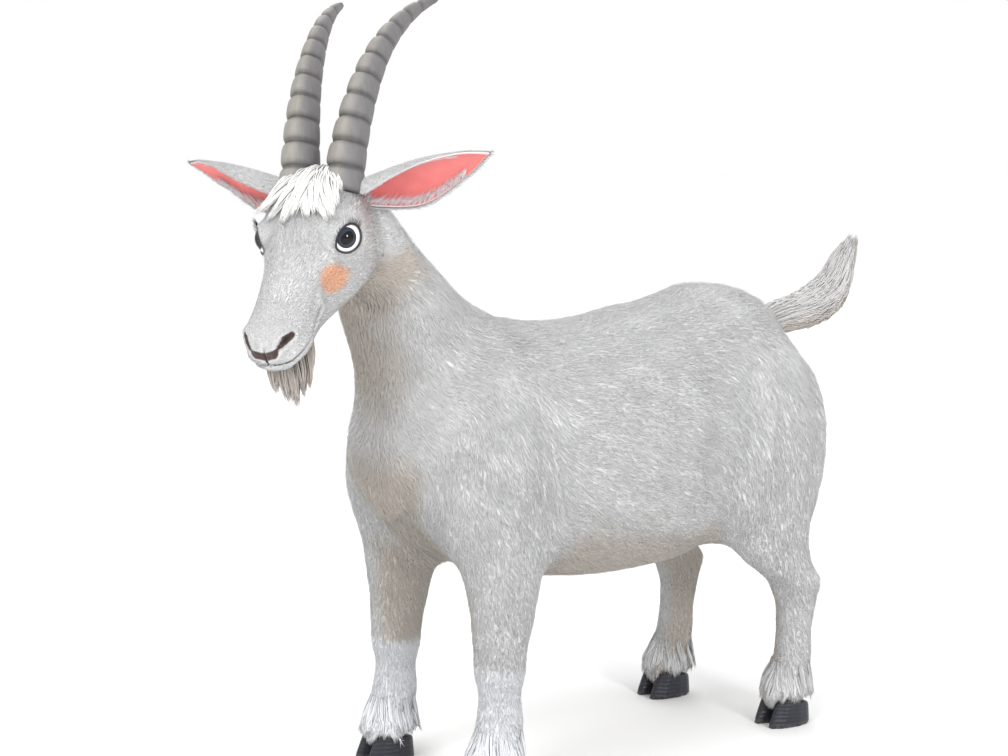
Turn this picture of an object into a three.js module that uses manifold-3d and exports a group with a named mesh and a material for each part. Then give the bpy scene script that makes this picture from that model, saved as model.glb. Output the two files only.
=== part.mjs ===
// A life-size still model of a small, stocky domestic goat with swept-back horns, standing square
// with its head turned to its left and its tail up. Millimetres, +Z up, soles on Z = 0.
// The goat faces -X, and its left side is at -Y.
//
// Torso, neck, head and legs are runs of cross-sections ("forms"). Their skins are blended where they
// meet, joined into one body, and parted again with thin cuts into the nodes a person would name.

import * as THREE from "three";
import { mergeVertices } from "three/addons/utils/BufferGeometryUtils.js";
import Module from "manifold-3d";

const wasm = await Module();
wasm.setup();

// ---------------------------------------------------------------- driving dimensions

const GAP = 0.3; // clearance between touching nodes
const BLEND = 34; // reach of the rounding between two forms
const FLARE_REACH = 34; // furthest that a blended skin may rise off its own form
const DIVE = 15; // depth at which a blended skin ends inside the other form
const SEED = 20;

const HEAD_YAW = THREE.MathUtils.degToRad(34); // turn of the head to the goat's left
const HEAD_PITCH = THREE.MathUtils.degToRad(-37); // muzzle below the horizontal
const HEAD_ROLL = THREE.MathUtils.degToRad(-3);
const HEAD_AT = new THREE.Vector3(-321, -8, 562); // centre of the braincase

const KNEE_Z = 129; // where each foreleg is parted, just under the knee
const HOCK_Z = 162; // where each hind leg is parted, at the hock
const CORONET_Z = 36; // top of the hooves
const FOOT_Z = 22; // lowest flesh, between the claws
const CLAW = { toe: 35, heel: 24, half: 11.6, apart: 13.1, front: 33, back: 23, slope: 16 };
const STEP = { foreleg_left: 6, foreleg_right: -16, hindleg_left: 12, hindleg_right: -24 }; // + is back

const EYE = { at: [-48, 33.5, 20], radius: 17.5, opening: [32, 25], lid: 2.6 };
const HORN = { root: [8, 22, 34], half: [20, 17], rings: 10, ridge: 1.6 };
const EAR = { root: [20, 38, 28], length: 120, half: 29, wall: 3 };

const COAT = "#c6c6c7";
const colours = {
  coat: { color: COAT, roughness: 0.9 },
  stocking: { color: "#dfe2e5", roughness: 0.9 },
  forelock: { color: "#f6f6f4", roughness: 0.9 },
  beard: { color: "#aaa29b", roughness: 0.9 },
  horn: { color: "#97928f", roughness: 0.55 },
  hoof: { color: "#3c3c47", roughness: 0.45 },
  eye: { color: "#2c2d37", roughness: 0.08 },
};
const materials = Object.fromEntries(
  Object.entries(colours).map(([name, look]) => [
    name,
    new THREE.MeshStandardMaterial({ name, metalness: 0, ...look }),
  ]),
);

// ---------------------------------------------------------------- small helpers

const v3 = (x, y, z) => new THREE.Vector3(x, y, z);
const lerp = THREE.MathUtils.lerp;
const smoothstep = THREE.MathUtils.smoothstep;

/** A seeded source of numbers from 0 to 1, so that every build draws the same ones. */
function seeded(seed) {
  let a = seed;
  return () => {
    a = (a + 0x6d2b79f5) | 0;
    let t = Math.imul(a ^ (a >>> 15), 1 | a);
    t = (t + Math.imul(t ^ (t >>> 7), 61 | t)) ^ t;
    return ((t ^ (t >>> 14)) >>> 0) / 4294967296;
  };
}
const random = seeded(SEED);
const vary = (spread) => (random() * 2 - 1) * spread;

/** A closed solid from a closed geometry, with its faces turned outwards. */
function solid(geometry) {
  const bare = new THREE.BufferGeometry();
  bare.setAttribute("position", geometry.getAttribute("position"));
  if (geometry.index) bare.setIndex(geometry.index);
  const merged = mergeVertices(bare, 1e-3);
  const triangles = new Uint32Array(merged.index.array);
  const build = () =>
    new wasm.Manifold(
      new wasm.Mesh({
        numProp: 3,
        vertProperties: new Float32Array(merged.attributes.position.array),
        triVerts: triangles,
      }),
    );
  const made = build();
  if (made.volume() > 0) return made;
  for (let i = 0; i < triangles.length; i += 3)
    [triangles[i + 1], triangles[i + 2]] = [triangles[i + 2], triangles[i + 1]];
  return build();
}

/** A sphere's grid of faces, with each point of row 0..rows and turn 0..1 put where place says. */
function wrap(around, rows, place) {
  const g = new THREE.SphereGeometry(1, around, rows);
  const position = g.attributes.position;
  const p = v3();
  for (let row = 0, i = 0; row <= rows; row++)
    for (let column = 0; column <= around; column++, i++) {
      place(p, (column % around) / around, row);
      position.setXYZ(i, p.x, p.y, p.z);
    }
  return solid(g);
}

const join = (...solids) => solids.flat().reduce((all, one) => all.add(one));

/** The largest closed body, which drops loose scraps and fills sealed hollows. */
function largest(made) {
  const bodies = made.decompose();
  return bodies.reduce((best, one) => (one.volume() > best.volume() ? one : best));
}

const matrixList = (m) => Array.from(m.elements);

/** A smooth curve through values at rising knots, which doesn't overshoot between them. */
function through(knots, values) {
  const n = knots.length;
  const slope = knots.map((_, i) => {
    const before = i > 0 ? (values[i] - values[i - 1]) / (knots[i] - knots[i - 1]) : null;
    const after = i < n - 1 ? (values[i + 1] - values[i]) / (knots[i + 1] - knots[i]) : null;
    if (before === null) return after;
    if (after === null) return before;
    if (before * after <= 0) return 0;
    return (2 * before * after) / (before + after);
  });
  return (at) => {
    const x = Math.min(Math.max(at, knots[0]), knots[n - 1]);
    let i = 0;
    while (i < n - 2 && x > knots[i + 1]) i++;
    const h = knots[i + 1] - knots[i];
    const t = (x - knots[i]) / h;
    const t2 = t * t;
    const t3 = t2 * t;
    return (
      (2 * t3 - 3 * t2 + 1) * values[i] +
      (t3 - 2 * t2 + t) * h * slope[i] +
      (3 * t2 - 2 * t3) * values[i + 1] +
      (t3 - t2) * h * slope[i + 1]
    );
  };
}

// ---------------------------------------------------------------- forms

/**
 * A run of oval cross-sections along a line. Each station has its centre (at), the way the line runs
 * there (along), and the oval's reach to the sides (wide), towards the hinted back (dorsal) and the
 * other way (ventral). Bumps are soft rises on the surface, in the form's own frame.
 */
class Form {
  constructor({ stations, back, caps, power = 2.2, bumps = [], toWorld = new THREE.Matrix4() }) {
    this.knots = [0];
    for (let i = 1; i < stations.length; i++)
      this.knots.push(this.knots[i - 1] + stations[i].at.distanceTo(stations[i - 1].at));
    this.length = this.knots.at(-1);
    const track = (read) => through(this.knots, stations.map(read));
    this.tracks = {
      x: track((s) => s.at.x),
      y: track((s) => s.at.y),
      z: track((s) => s.at.z),
      ax: track((s) => s.along.x),
      ay: track((s) => s.along.y),
      az: track((s) => s.along.z),
      wide: track((s) => s.wide),
      dorsal: track((s) => s.dorsal),
      ventral: track((s) => s.ventral),
    };
    Object.assign(this, { back, caps, power, bumps, toWorld });
    this.fromWorld = toWorld.clone().invert();
    const samples = 48;
    this.samples = Array.from({ length: samples + 1 }, (_, i) =>
      this.section((this.length * i) / samples),
    );
  }

  section(s) {
    const t = this.tracks;
    const along = v3(t.ax(s), t.ay(s), t.az(s)).normalize();
    const side = this.back.clone().cross(along).normalize();
    return {
      s,
      centre: v3(t.x(s), t.y(s), t.z(s)),
      along,
      side,
      dorsal: along.clone().cross(side),
      reach: { wide: t.wide(s), dorsal: t.dorsal(s), ventral: t.ventral(s) },
    };
  }

  /** Distance from the centre line to the oval along a turn, where 0 is the side and 1/4 the back. */
  radius(reach, cos, sin) {
    const tall = sin > 0 ? reach.dorsal : reach.ventral;
    const p = this.power;
    return (Math.abs(cos / reach.wide) ** p + Math.abs(sin / tall) ** p) ** (-1 / p);
  }

  /** About how far a world point is outside the form; negative inside. */
  field(world) {
    const p = world.clone().applyMatrix4(this.fromWorld);
    const list = this.samples;
    const ahead = (one) => p.clone().sub(one.centre).dot(one.along);
    let near = list[0];
    let beyond = 0;
    let share = 0;
    let next = near;
    const first = ahead(list[0]);
    if (first < 0) beyond = -first / this.caps[0];
    else {
      let before = first;
      near = list.at(-1);
      next = near;
      let found = false;
      for (let i = 1; i < list.length; i++) {
        const now = ahead(list[i]);
        if (now < 0) {
          near = list[i - 1];
          next = list[i];
          share = before / (before - now);
          found = true;
          break;
        }
        before = now;
      }
      if (!found) beyond = before / this.caps[1];
    }
    const centre = near.centre.clone().lerp(next.centre, share);
    const off = p.sub(centre);
    const reach = {
      wide: lerp(near.reach.wide, next.reach.wide, share),
      dorsal: lerp(near.reach.dorsal, next.reach.dorsal, share),
      ventral: lerp(near.reach.ventral, next.reach.ventral, share),
    };
    const a = off.dot(near.side);
    const b = off.dot(near.dorsal);
    const tall = b > 0 ? reach.dorsal : reach.ventral;
    const p2 = this.power;
    const q = (Math.abs(a / reach.wide) ** p2 + Math.abs(b / tall) ** p2) ** (1 / p2);
    return (Math.hypot(q, beyond) - 1) * Math.min(reach.wide, reach.dorsal, reach.ventral);
  }

  /** The form's solid. grow swells it, and others are the forms that its skin is blended into. */
  solid({ around, rows, grow = 0, others = [], reach = FLARE_REACH }) {
    const capRows = 3;
    const last = rows + 2 * capRows;
    return wrap(around, last, (p, turn, row) => {
      let s = 0;
      let scale = 1;
      let past = 0;
      if (row < capRows) {
        const angle = (Math.PI / 2) * (1 - row / capRows);
        past = -Math.sin(angle) * (this.caps[0] + grow);
        scale = Math.cos(angle);
      } else if (row > last - capRows) {
        const angle = (Math.PI / 2) * (1 - (last - row) / capRows);
        past = Math.sin(angle) * (this.caps[1] + grow);
        scale = Math.cos(angle);
        s = this.length;
      } else s = (this.length * (row - capRows)) / rows;
      if (row === 0 || row === last) scale = 0;
      const section = this.section(s);
      const cos = Math.cos(turn * 2 * Math.PI);
      const sin = Math.sin(turn * 2 * Math.PI);
      const way = section.side.clone().multiplyScalar(cos).addScaledVector(section.dorsal, sin);
      const centre = section.centre.clone().addScaledVector(section.along, past);
      let r = this.radius(section.reach, cos, sin) * scale;
      p.copy(centre).addScaledVector(way, r);
      for (const bump of this.bumps)
        r += scale * bump.rise * Math.exp(-p.distanceToSquared(bump.at) / (2 * bump.spread ** 2));
      p.copy(centre).addScaledVector(way, r).applyMatrix4(this.toWorld);
      const outward = way.clone().transformDirection(this.toWorld);
      if (scale > 0 && others.length) {
        const start = p.clone();
        const forms = [this, ...others];
        const depth = (d) => DIVE * smoothstep(d, reach * 0.15, reach * 0.75);
        const outside = (d) =>
          blended(forms, start.clone().addScaledVector(outward, d)) > -depth(d);
        const stride = 3;
        let far = 0;
        while (far < reach && !outside(far)) far += stride;
        if (far >= reach) far = reach;
        else if (far > 0) {
          let near = far - stride;
          for (let i = 0; i < 6; i++) {
            const middle = (near + far) / 2;
            if (outside(middle)) far = middle;
            else near = middle;
          }
        }
        p.copy(start).addScaledVector(outward, far);
      }
      p.addScaledVector(outward, grow * Math.min(1, scale * 4));
    });
  }
}

/** The forms' fields joined with a soft rounding. */
function blended(forms, point) {
  return forms
    .map((form) => form.field(point))
    .reduce((a, b) => {
      const h = Math.max(BLEND - Math.abs(a - b), 0) / BLEND;
      return Math.min(a, b) - (h * h * BLEND) / 4;
    });
}

// ---------------------------------------------------------------- the body's forms

const BACK_UP = v3(0, 0, 1);

/** Torso, from the chest to the buttocks: X, top, height of the widest level, bottom, half width. */
const torsoStations = [
  [-256, 408, 338, 270, 67],
  [-234, 430, 335, 248, 83],
  [-200, 452, 330, 222, 97],
  [-150, 459, 320, 204, 109],
  [-86, 453, 310, 191, 121],
  [-12, 453, 305, 184, 130],
  [62, 464, 306, 187, 131],
  [121, 476, 320, 210, 121],
  [170, 477, 342, 254, 106],
  [207, 460, 356, 286, 87],
  [233, 426, 356, 308, 60],
].map(([x, top, middle, bottom, wide]) => ({
  at: v3(x, 0, middle),
  along: v3(1, 0, 0),
  wide,
  dorsal: top - middle,
  ventral: middle - bottom,
}));

const torsoForm = new Form({
  stations: torsoStations,
  back: BACK_UP,
  caps: [26, 16],
  power: 2.15,
  bumps: [
    { at: v3(-150, 0, 459), rise: 5, spread: 30 }, // withers
    { at: v3(146, -62, 464), rise: 6, spread: 22 }, // hip bones
    { at: v3(146, 62, 464), rise: 6, spread: 22 },
    { at: v3(225, -48, 400), rise: 5, spread: 20 }, // pin bones
    { at: v3(225, 48, 400), rise: 5, spread: 20 },
    { at: v3(-268, 0, 315), rise: 5, spread: 30 }, // breastbone
    { at: v3(126, -108, 270), rise: -7, spread: 34 }, // hollow of the flank
    { at: v3(126, 108, 270), rise: -7, spread: 34 },
    { at: v3(106, -98, 410), rise: -7, spread: 34 },
    { at: v3(106, 98, 410), rise: -7, spread: 34 },
  ],
});

/** A leg as level slices: Z, front X, back X, centre Y and half width; step moves the foot. */
function legForm(slices, side, step, hipZ) {
  return new Form({
    stations: slices.map(([z, front, rear, y, half]) => {
      const middle = (front + rear) / 2 + step * smoothstep(hipZ - z, 0, hipZ - CORONET_Z);
      return {
        at: v3(middle, side * y, z),
        along: v3(0, 0, -1),
        wide: half,
        dorsal: (rear - front) / 2,
        ventral: (rear - front) / 2,
      };
    }),
    back: v3(-1, 0, 0),
    caps: [18, 6],
    power: 2.1,
  });
}

const foreSlices = [
  [422, -187, -145, 44, 16.5],
  [390, -219, -125, 61, 28],
  [350, -254, -122, 72, 35],
  [308, -262, -125, 77, 38],
  [268, -248, -128, 80, 38.5],
  [232, -229, -134, 82, 36.5],
  [198, -220, -142, 83, 33],
  [168, -215, -150, 81, 28],
  [147, -214, -156, 80, 26.5],
  [134, -215, -158, 79, 26.5],
  [120, -211, -159, 78.5, 23.5],
  [100, -206, -164, 78, 20],
  [81, -206, -164, 78, 20],
  [66, -212, -160, 78, 23.5],
  [50, -216, -165, 78, 22],
  [CORONET_Z, -220, -170, 78, 24],
  [FOOT_Z, -220, -175, 78, 22],
];

const hindSlices = [
  [440, 144, 192, 42, 20.5],
  [410, 109, 229, 57, 33],
  [370, 83, 250, 70, 43.5],
  [325, 66, 255, 79, 46.5],
  [288, 62, 247, 84, 44.5],
  [258, 66, 236, 89, 39.5],
  [228, 84, 224, 87, 33.5],
  [202, 108, 221, 85, 28.5],
  [179, 141, 225, 83, 24.5],
  [164, 163, 234, 82, 23],
  [152, 175, 238, 81, 23],
  [138, 182, 232, 80, 22],
  [120, 185, 226, 79, 20],
  [96, 185, 223, 78, 19.5],
  [79, 184, 223, 78, 20],
  [65, 178, 228, 78, 23.5],
  [50, 171, 222, 78, 22],
  [CORONET_Z, 165, 216, 78, 24],
  [FOOT_Z, 165, 211, 78, 22],
];

const LEFT = -1;
const RIGHT = 1;
const legs = {
  foreleg_left: { slices: foreSlices, side: LEFT, hipZ: 350, cutZ: KNEE_Z, top: 395, inner: 40 },
  foreleg_right: { slices: foreSlices, side: RIGHT, hipZ: 350, cutZ: KNEE_Z, top: 395, inner: 40 },
  hindleg_left: { slices: hindSlices, side: LEFT, hipZ: 370, cutZ: HOCK_Z, top: 410, inner: 36 },
  hindleg_right: { slices: hindSlices, side: RIGHT, hipZ: 370, cutZ: HOCK_Z, top: 410, inner: 36 },
};
for (const [name, leg] of Object.entries(legs)) {
  leg.step = STEP[name];
  leg.form = legForm(leg.slices, leg.side, leg.step, leg.hipZ);
}

/** Neck, from inside the shoulders to inside the back of the head. */
const neckForm = new Form({
  stations: [
    { at: v3(-166, 0, 354), lean: 46, turn: 0, wide: 88, dorsal: 84, ventral: 96 },
    { at: v3(-203, 0, 404), lean: 47, turn: 0, wide: 81, dorsal: 76, ventral: 79 },
    { at: v3(-238, -1, 454), lean: 36, turn: 5, wide: 68, dorsal: 62, ventral: 64 },
    { at: v3(-269, -3, 505), lean: 14, turn: 14, wide: 57, dorsal: 55, ventral: 54 },
    { at: v3(-297, -5, 558), lean: -14, turn: 24, wide: 45, dorsal: 56, ventral: 47 },
  ].map(({ lean, turn, ...station }) => {
    const rise = THREE.MathUtils.degToRad(lean);
    const yaw = THREE.MathUtils.degToRad(turn);
    const flat = Math.cos(rise);
    return {
      ...station,
      along: v3(-flat * Math.cos(yaw), -flat * Math.sin(yaw), Math.sin(rise)),
    };
  }),
  back: v3(0.5, 0, 0.86),
  caps: [30, 8],
  power: 2.15,
});

// The head's own frame has its origin in the braincase, the muzzle towards -X and the left at -Y.
const headMatrix = new THREE.Matrix4().compose(
  HEAD_AT,
  new THREE.Quaternion().setFromEuler(new THREE.Euler(HEAD_ROLL, HEAD_PITCH, HEAD_YAW, "ZYX")),
  v3(1, 1, 1),
);
const fromHead = headMatrix.clone().invert();

/** Bumps given for the left of the head, and repeated on its right. */
const paired = (list) =>
  list.flatMap(({ at: [x, y, z], ...rest }) => [
    { at: v3(x, -y, z), ...rest },
    { at: v3(x, y, z), ...rest },
  ]);

/** Head, from the nape to the muzzle: X, top, widest level, bottom, half width. */
const headForm = new Form({
  stations: [
    [34, 34, 2, -38, 34],
    [18, 45, 4, -54, 40],
    [-4, 51, 6, -64, 43],
    [-28, 51, 8, -64, 45],
    [-52, 45, 8, -58, 43],
    [-78, 36, 4, -50, 36.5],
    [-104, 28.5, 0, -42, 30.5],
    [-128, 23.5, -4, -36.5, 27.5],
    [-146, 20.5, -6, -34, 26.5],
    [-159, 17, -7.5, -32, 25],
    [-169, 12, -9, -28.5, 21.5],
  ].map(([x, top, middle, bottom, wide]) => ({
    at: v3(x, 0, middle),
    along: v3(-1, 0, 0),
    wide,
    dorsal: top - middle,
    ventral: middle - bottom,
  })),
  back: BACK_UP,
  caps: [12, 10],
  power: 2.25,
  toWorld: headMatrix,
  bumps: [
    ...paired([
      { at: [-45, 38, 36], rise: 9, spread: 11 }, // brow over each eye
      { at: [-50, 43, 6], rise: 5, spread: 12 }, // rim under each eye
      { at: [-24, 40, 22], rise: 5, spread: 13 }, // temple behind each eye
      { at: [-20, 40, -30], rise: 4, spread: 22 }, // cheek
      { at: [-88, 32, -6], rise: -3.5, spread: 15 }, // hollow before the cheek
      { at: [-157, 21, 3], rise: 3.2, spread: 8 }, // wings of the nose
      { at: [-146, 24, -14], rise: 2.4, spread: 9 }, // upper lip
      { at: [-142, 14, -35], rise: 2.5, spread: 8 }, // lower lip
    ]),
    { at: v3(-10, 0, 52), rise: 6, spread: 20 }, // poll
    { at: v3(-62, 0, 40), rise: -1.5, spread: 14 }, // stop below the brow
    { at: v3(-100, 0, 28), rise: 1.5, spread: 16 }, // bridge of the nose
    { at: v3(-141, 0, -37), rise: 5, spread: 10 }, // chin
  ],
});

// ---------------------------------------------------------------- one body, then its cuts

/** Torso, neck, head and legs as one closed body, swollen by grow. */
function wholeBody(grow) {
  const legForms = Object.values(legs).map((leg) => leg.form);
  return join(
    torsoForm.solid({ around: 24, rows: 15, grow }),
    neckForm.solid({ around: 20, rows: 6, grow, others: [torsoForm, headForm] }),
    headForm.solid({ around: 26, rows: 17, grow }),
    legForms.map((form) => form.solid({ around: 12, rows: 16, grow, others: [torsoForm] })),
  );
}

const body = wholeBody(0);
const bodyGrown = wholeBody(GAP);
const toHeadFrame = matrixList(fromHead);

/** Both sides of a cut through two points seen from the side, parted by the gap. */
function partBetween(made, low, high) {
  const along = high.clone().sub(low);
  const normal = v3(-along.z, 0, along.x).normalize();
  if (normal.x > 0) normal.negate();
  const offset = normal.dot(low);
  return {
    ahead: made.trimByPlane(normal.toArray(), offset + GAP / 2),
    behind: made.trimByPlane(normal.clone().negate().toArray(), -(offset - GAP / 2)),
  };
}

const atShoulders = partBetween(body, v3(-292, 0, 368), v3(-178, 0, 482));

/** The head's side outline: down from the nape to the throat, then forward under the jaw. */
function headRegion(grow) {
  const shape = new THREE.Shape(
    [
      [-240, 120],
      [62 + grow, 120],
      [44 + grow, 46],
      [4 + grow, -68 - grow],
      [-40, -69 - grow],
      [-80, -61 - grow],
      [-240, -61 - grow],
    ].map(([x, z]) => new THREE.Vector2(x, z)),
  );
  const g = new THREE.ExtrudeGeometry(shape, { depth: 240, bevelEnabled: false, steps: 1 });
  g.rotateX(Math.PI / 2).translate(0, 120, 0);
  return solid(g);
}

/** The side outline of a leg, pulled through the flank from its inner plane outwards. */
function legRegion(leg, grow) {
  const margin = 2 + grow;
  const levels = leg.slices.filter(([z]) => z <= leg.top);
  const shift = (z) => leg.step * smoothstep(leg.hipZ - z, 0, leg.hipZ - CORONET_Z);
  const fronts = levels.map(([z, front]) => new THREE.Vector2(front + shift(z) - margin, z));
  const backs = levels.map(([z, , rear]) => new THREE.Vector2(rear + shift(z) + margin, z));
  const [topZ, topFront, topBack] = levels[0];
  const dome = [0.2, 0.5, 0.8].map(
    (share) =>
      new THREE.Vector2(
        lerp(topFront - margin, topBack + margin, share),
        topZ + grow + 20 * Math.sin(Math.PI * share),
      ),
  );
  const foot = levels.at(-1)[0];
  const shape = new THREE.Shape([
    ...fronts.reverse(),
    ...dome,
    ...backs,
    new THREE.Vector2(backs.at(-1).x + 30, foot - 60),
    new THREE.Vector2(fronts[0].x - 30, foot - 60),
  ]);
  const g = new THREE.ExtrudeGeometry(shape, { depth: 160, bevelEnabled: false, steps: 1 });
  g.rotateX(Math.PI / 2); // the outline now stands in XZ, pulled from Y = 0 to Y = -160
  if (leg.side === RIGHT) g.translate(0, 160 + leg.inner - grow, 0);
  else g.translate(0, -leg.inner + grow, 0);
  return solid(g);
}

// ---------------------------------------------------------------- hooves

/** One toe of a cloven hoof: flat sole, sloping toe wall and a slanting top. */
function claw(foot, half, grow) {
  const rows = [0, 0.1, 1];
  const around = 10;
  const g = new THREE.CylinderGeometry(1, 1, 1, around, rows.length - 1);
  const position = g.attributes.position;
  for (let i = 0; i < position.count; i++) {
    const level = Math.round((position.getY(i) + 0.5) * (rows.length - 1));
    const h = rows[level];
    const angle = Math.atan2(position.getZ(i), position.getX(i));
    const centre = Math.hypot(position.getX(i), position.getZ(i)) < 0.5;
    const c = centre ? 0 : Math.cos(angle);
    const s = centre ? 0 : Math.sin(angle);
    const sole = h === 0 ? 0.93 : 1;
    const front = (CLAW.toe - CLAW.slope * h + grow) * sole;
    const rear = (CLAW.heel - 2 * h + grow) * sole;
    const x = c < 0 ? c * front : c * rear;
    const point = Math.max(0, -c) ** 2;
    const wide = (CLAW.half - 0.8 * h + grow) * sole * (1 - 0.25 * point);
    const y = half * (CLAW.apart - 2.4 * point) + s * wide;
    const top = lerp(CLAW.back, CLAW.front, (1 - c) / 2) + grow;
    position.setXYZ(i, foot.x + x, foot.y + y, h === 0 ? -grow : top * h);
  }
  return solid(g);
}

/** A dewclaw: a small blunt horn cone on the back of the pastern. */
function dewclaw(foot, half, grow) {
  const root = v3(foot.x + 13, foot.y + half * 10.5, 58);
  const way = v3(0.78, half * 0.18, -0.6).normalize();
  const side = v3(0, 1, 0).cross(way).normalize();
  const across = way.clone().cross(side);
  const last = 3;
  return wrap(6, last, (p, turn, row) => {
    const t = row / last;
    const r = Math.sin(Math.PI * Math.min(1, t * 0.75 + 0.12)) ** 0.7 * 6.2 + grow;
    const out = t * 17 + (t - 0.5) * 2 * grow;
    const scale = row === 0 || row === last ? 0 : 1;
    p.copy(root)
      .addScaledVector(way, out)
      .addScaledVector(side, Math.cos(turn * 2 * Math.PI) * r * scale * 0.8)
      .addScaledVector(across, Math.sin(turn * 2 * Math.PI) * r * scale);
  });
}

// ---------------------------------------------------------------- locks of hair

/**
 * A flat tapered lock. It leaves its root along way, turns by bend over its length, and lies flat
 * against the surface whose outward direction is face. The root starts sunk behind the point given.
 */
function lock({ root, way, bend, face, length, wide, thick, sunk = 6, around = 4, rows = 4 }) {
  const line = new THREE.QuadraticBezierCurve3(
    root.clone().addScaledVector(way, -sunk),
    root.clone().addScaledVector(way, length * 0.45),
    root.clone().addScaledVector(way, length * 0.9).addScaledVector(bend, length),
  );
  const widths = through([0, 0.12, 0.4, 0.75, 1], [0, 0.75, 1, 0.62, 0]);
  return wrap(around, rows, (p, turn, row) => {
    const t = row / rows;
    const run = line.getTangent(t);
    const across = face.clone().cross(run).normalize();
    const out = run.clone().cross(across);
    const share = row === 0 || row === rows ? 0 : widths(t);
    const angle = (turn + 0.25) * 2 * Math.PI;
    p.copy(line.getPoint(t))
      .addScaledVector(across, Math.cos(angle) * wide * share)
      .addScaledVector(out, Math.sin(angle) * thick * Math.sqrt(share));
  });
}

const FRINGE_LOCKS = 7;

/** The skirt of hair that hangs over the top of a hoof. */
function fringe(foot) {
  return Array.from({ length: FRINGE_LOCKS }, (_, i) => {
    const angle = ((i + vary(0.18)) / FRINGE_LOCKS) * 2 * Math.PI;
    const c = Math.cos(angle);
    const s = Math.sin(angle);
    const face = v3(c, s, 0.25).normalize();
    const forward = Math.max(0, -c);
    return lock({
      root: v3(foot.x + 4 + c * 22, foot.y + s * 20, 57 + vary(3)),
      way: v3(c * 0.12 - forward * 0.2, s * 0.12, -1).normalize(),
      bend: v3(c * 0.14 - forward * 0.12, s * 0.14, -0.05 + vary(0.03)),
      face,
      length: 33 + vary(4),
      wide: 10.5 + vary(0.8),
      thick: 2.6,
      sunk: 9,
    });
  });
}

const BEARD_ROWS = [
  { x: -122, count: 3, spread: 10, length: 46 },
  { x: -134, count: 4, spread: 14, length: 64 },
  { x: -146, count: 4, spread: 12, length: 62 },
];

/** The chin beard, in the head's frame, hanging straight down from the jaw. */
function beard() {
  const down = v3(0, 0, -1).transformDirection(fromHead);
  const locks = BEARD_ROWS.flatMap(({ x, count, spread, length }) =>
    Array.from({ length: count }, (_, i) => {
      const across = count > 1 ? (i / (count - 1)) * 2 - 1 : 0;
      const angle = vary(0.4) + across * 1.1 + (x < -130 ? Math.PI : 0);
      return lock({
        root: v3(x + vary(1.5), across * spread, -37 + Math.abs(across) * 3),
        way: down.clone().add(v3(0.05, across * 0.22, 0)).normalize(),
        bend: v3(0.1 + vary(0.05), -across * 0.16 + vary(0.05), -0.02),
        face: v3(Math.cos(angle), Math.sin(angle), 0),
        length: length * (1 - 0.22 * Math.abs(across)) + vary(5),
        wide: 8 + vary(0.8),
        thick: 3.4,
        sunk: 9,
        around: 5,
        rows: 4,
      });
    }),
  );
  const core = wrap(8, 6, (p, turn, row) => {
    const t = row / 6;
    const r = Math.sin(Math.PI * t);
    p.set(-135, 0, -30)
      .addScaledVector(down, t * 34)
      .add(v3(Math.cos(turn * 2 * Math.PI) * 12 * r, Math.sin(turn * 2 * Math.PI) * 13 * r, 0));
  });
  return largest(join(core, locks).subtract(bodyInHead));
}

const FORELOCK_ROWS = [
  { x: 14, count: 3, spread: 13, length: 32, lift: 0.5 },
  { x: 4, count: 4, spread: 17, length: 40, lift: 0.34 },
  { x: -7, count: 4, spread: 16, length: 44, lift: 0.2 },
  { x: -17, count: 3, spread: 11, length: 38, lift: 0.1 },
];

/** The tuft between the horns, swept forward over the forehead. */
function forelock() {
  const locks = FORELOCK_ROWS.flatMap(({ x, count, spread, length, lift }) =>
    Array.from({ length: count }, (_, i) => {
      const across = (i / (count - 1)) * 2 - 1;
      return lock({
        root: v3(x + vary(2), across * spread, 61 - Math.abs(across) * 4 - (x > 10 ? 3 : 0)),
        way: v3(-0.93, across * 0.3 + 0.1, lift).normalize(),
        bend: v3(-0.05, across * 0.16 - 0.08 + vary(0.08), -0.2 - lift * 0.55),
        face: v3(vary(0.15), across * 0.35, 1).normalize(),
        length: length + vary(5),
        wide: 7.6 + vary(0.8),
        thick: 2.6,
        sunk: 9,
      });
    }),
  );
  const core = wrap(10, 4, (p, turn, row) => {
    const t = row / 4;
    const r = Math.sin(Math.PI * t);
    const c = Math.cos(turn * 2 * Math.PI) * r;
    const s = Math.sin(turn * 2 * Math.PI) * r;
    p.set(c * 25 - 1, s * 19, 54 - 12 * Math.cos(Math.PI * t));
  });
  return largest(join(core, locks).subtract(bodyInHead).subtract(hornsGrown));
}

const TAIL_LINE = new THREE.CatmullRomCurve3([
  v3(217, 0, 426),
  v3(259, 0, 434),
  v3(301, 0, 441),
  v3(340, 0, 460),
  v3(364, 0, 500),
]);

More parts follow.
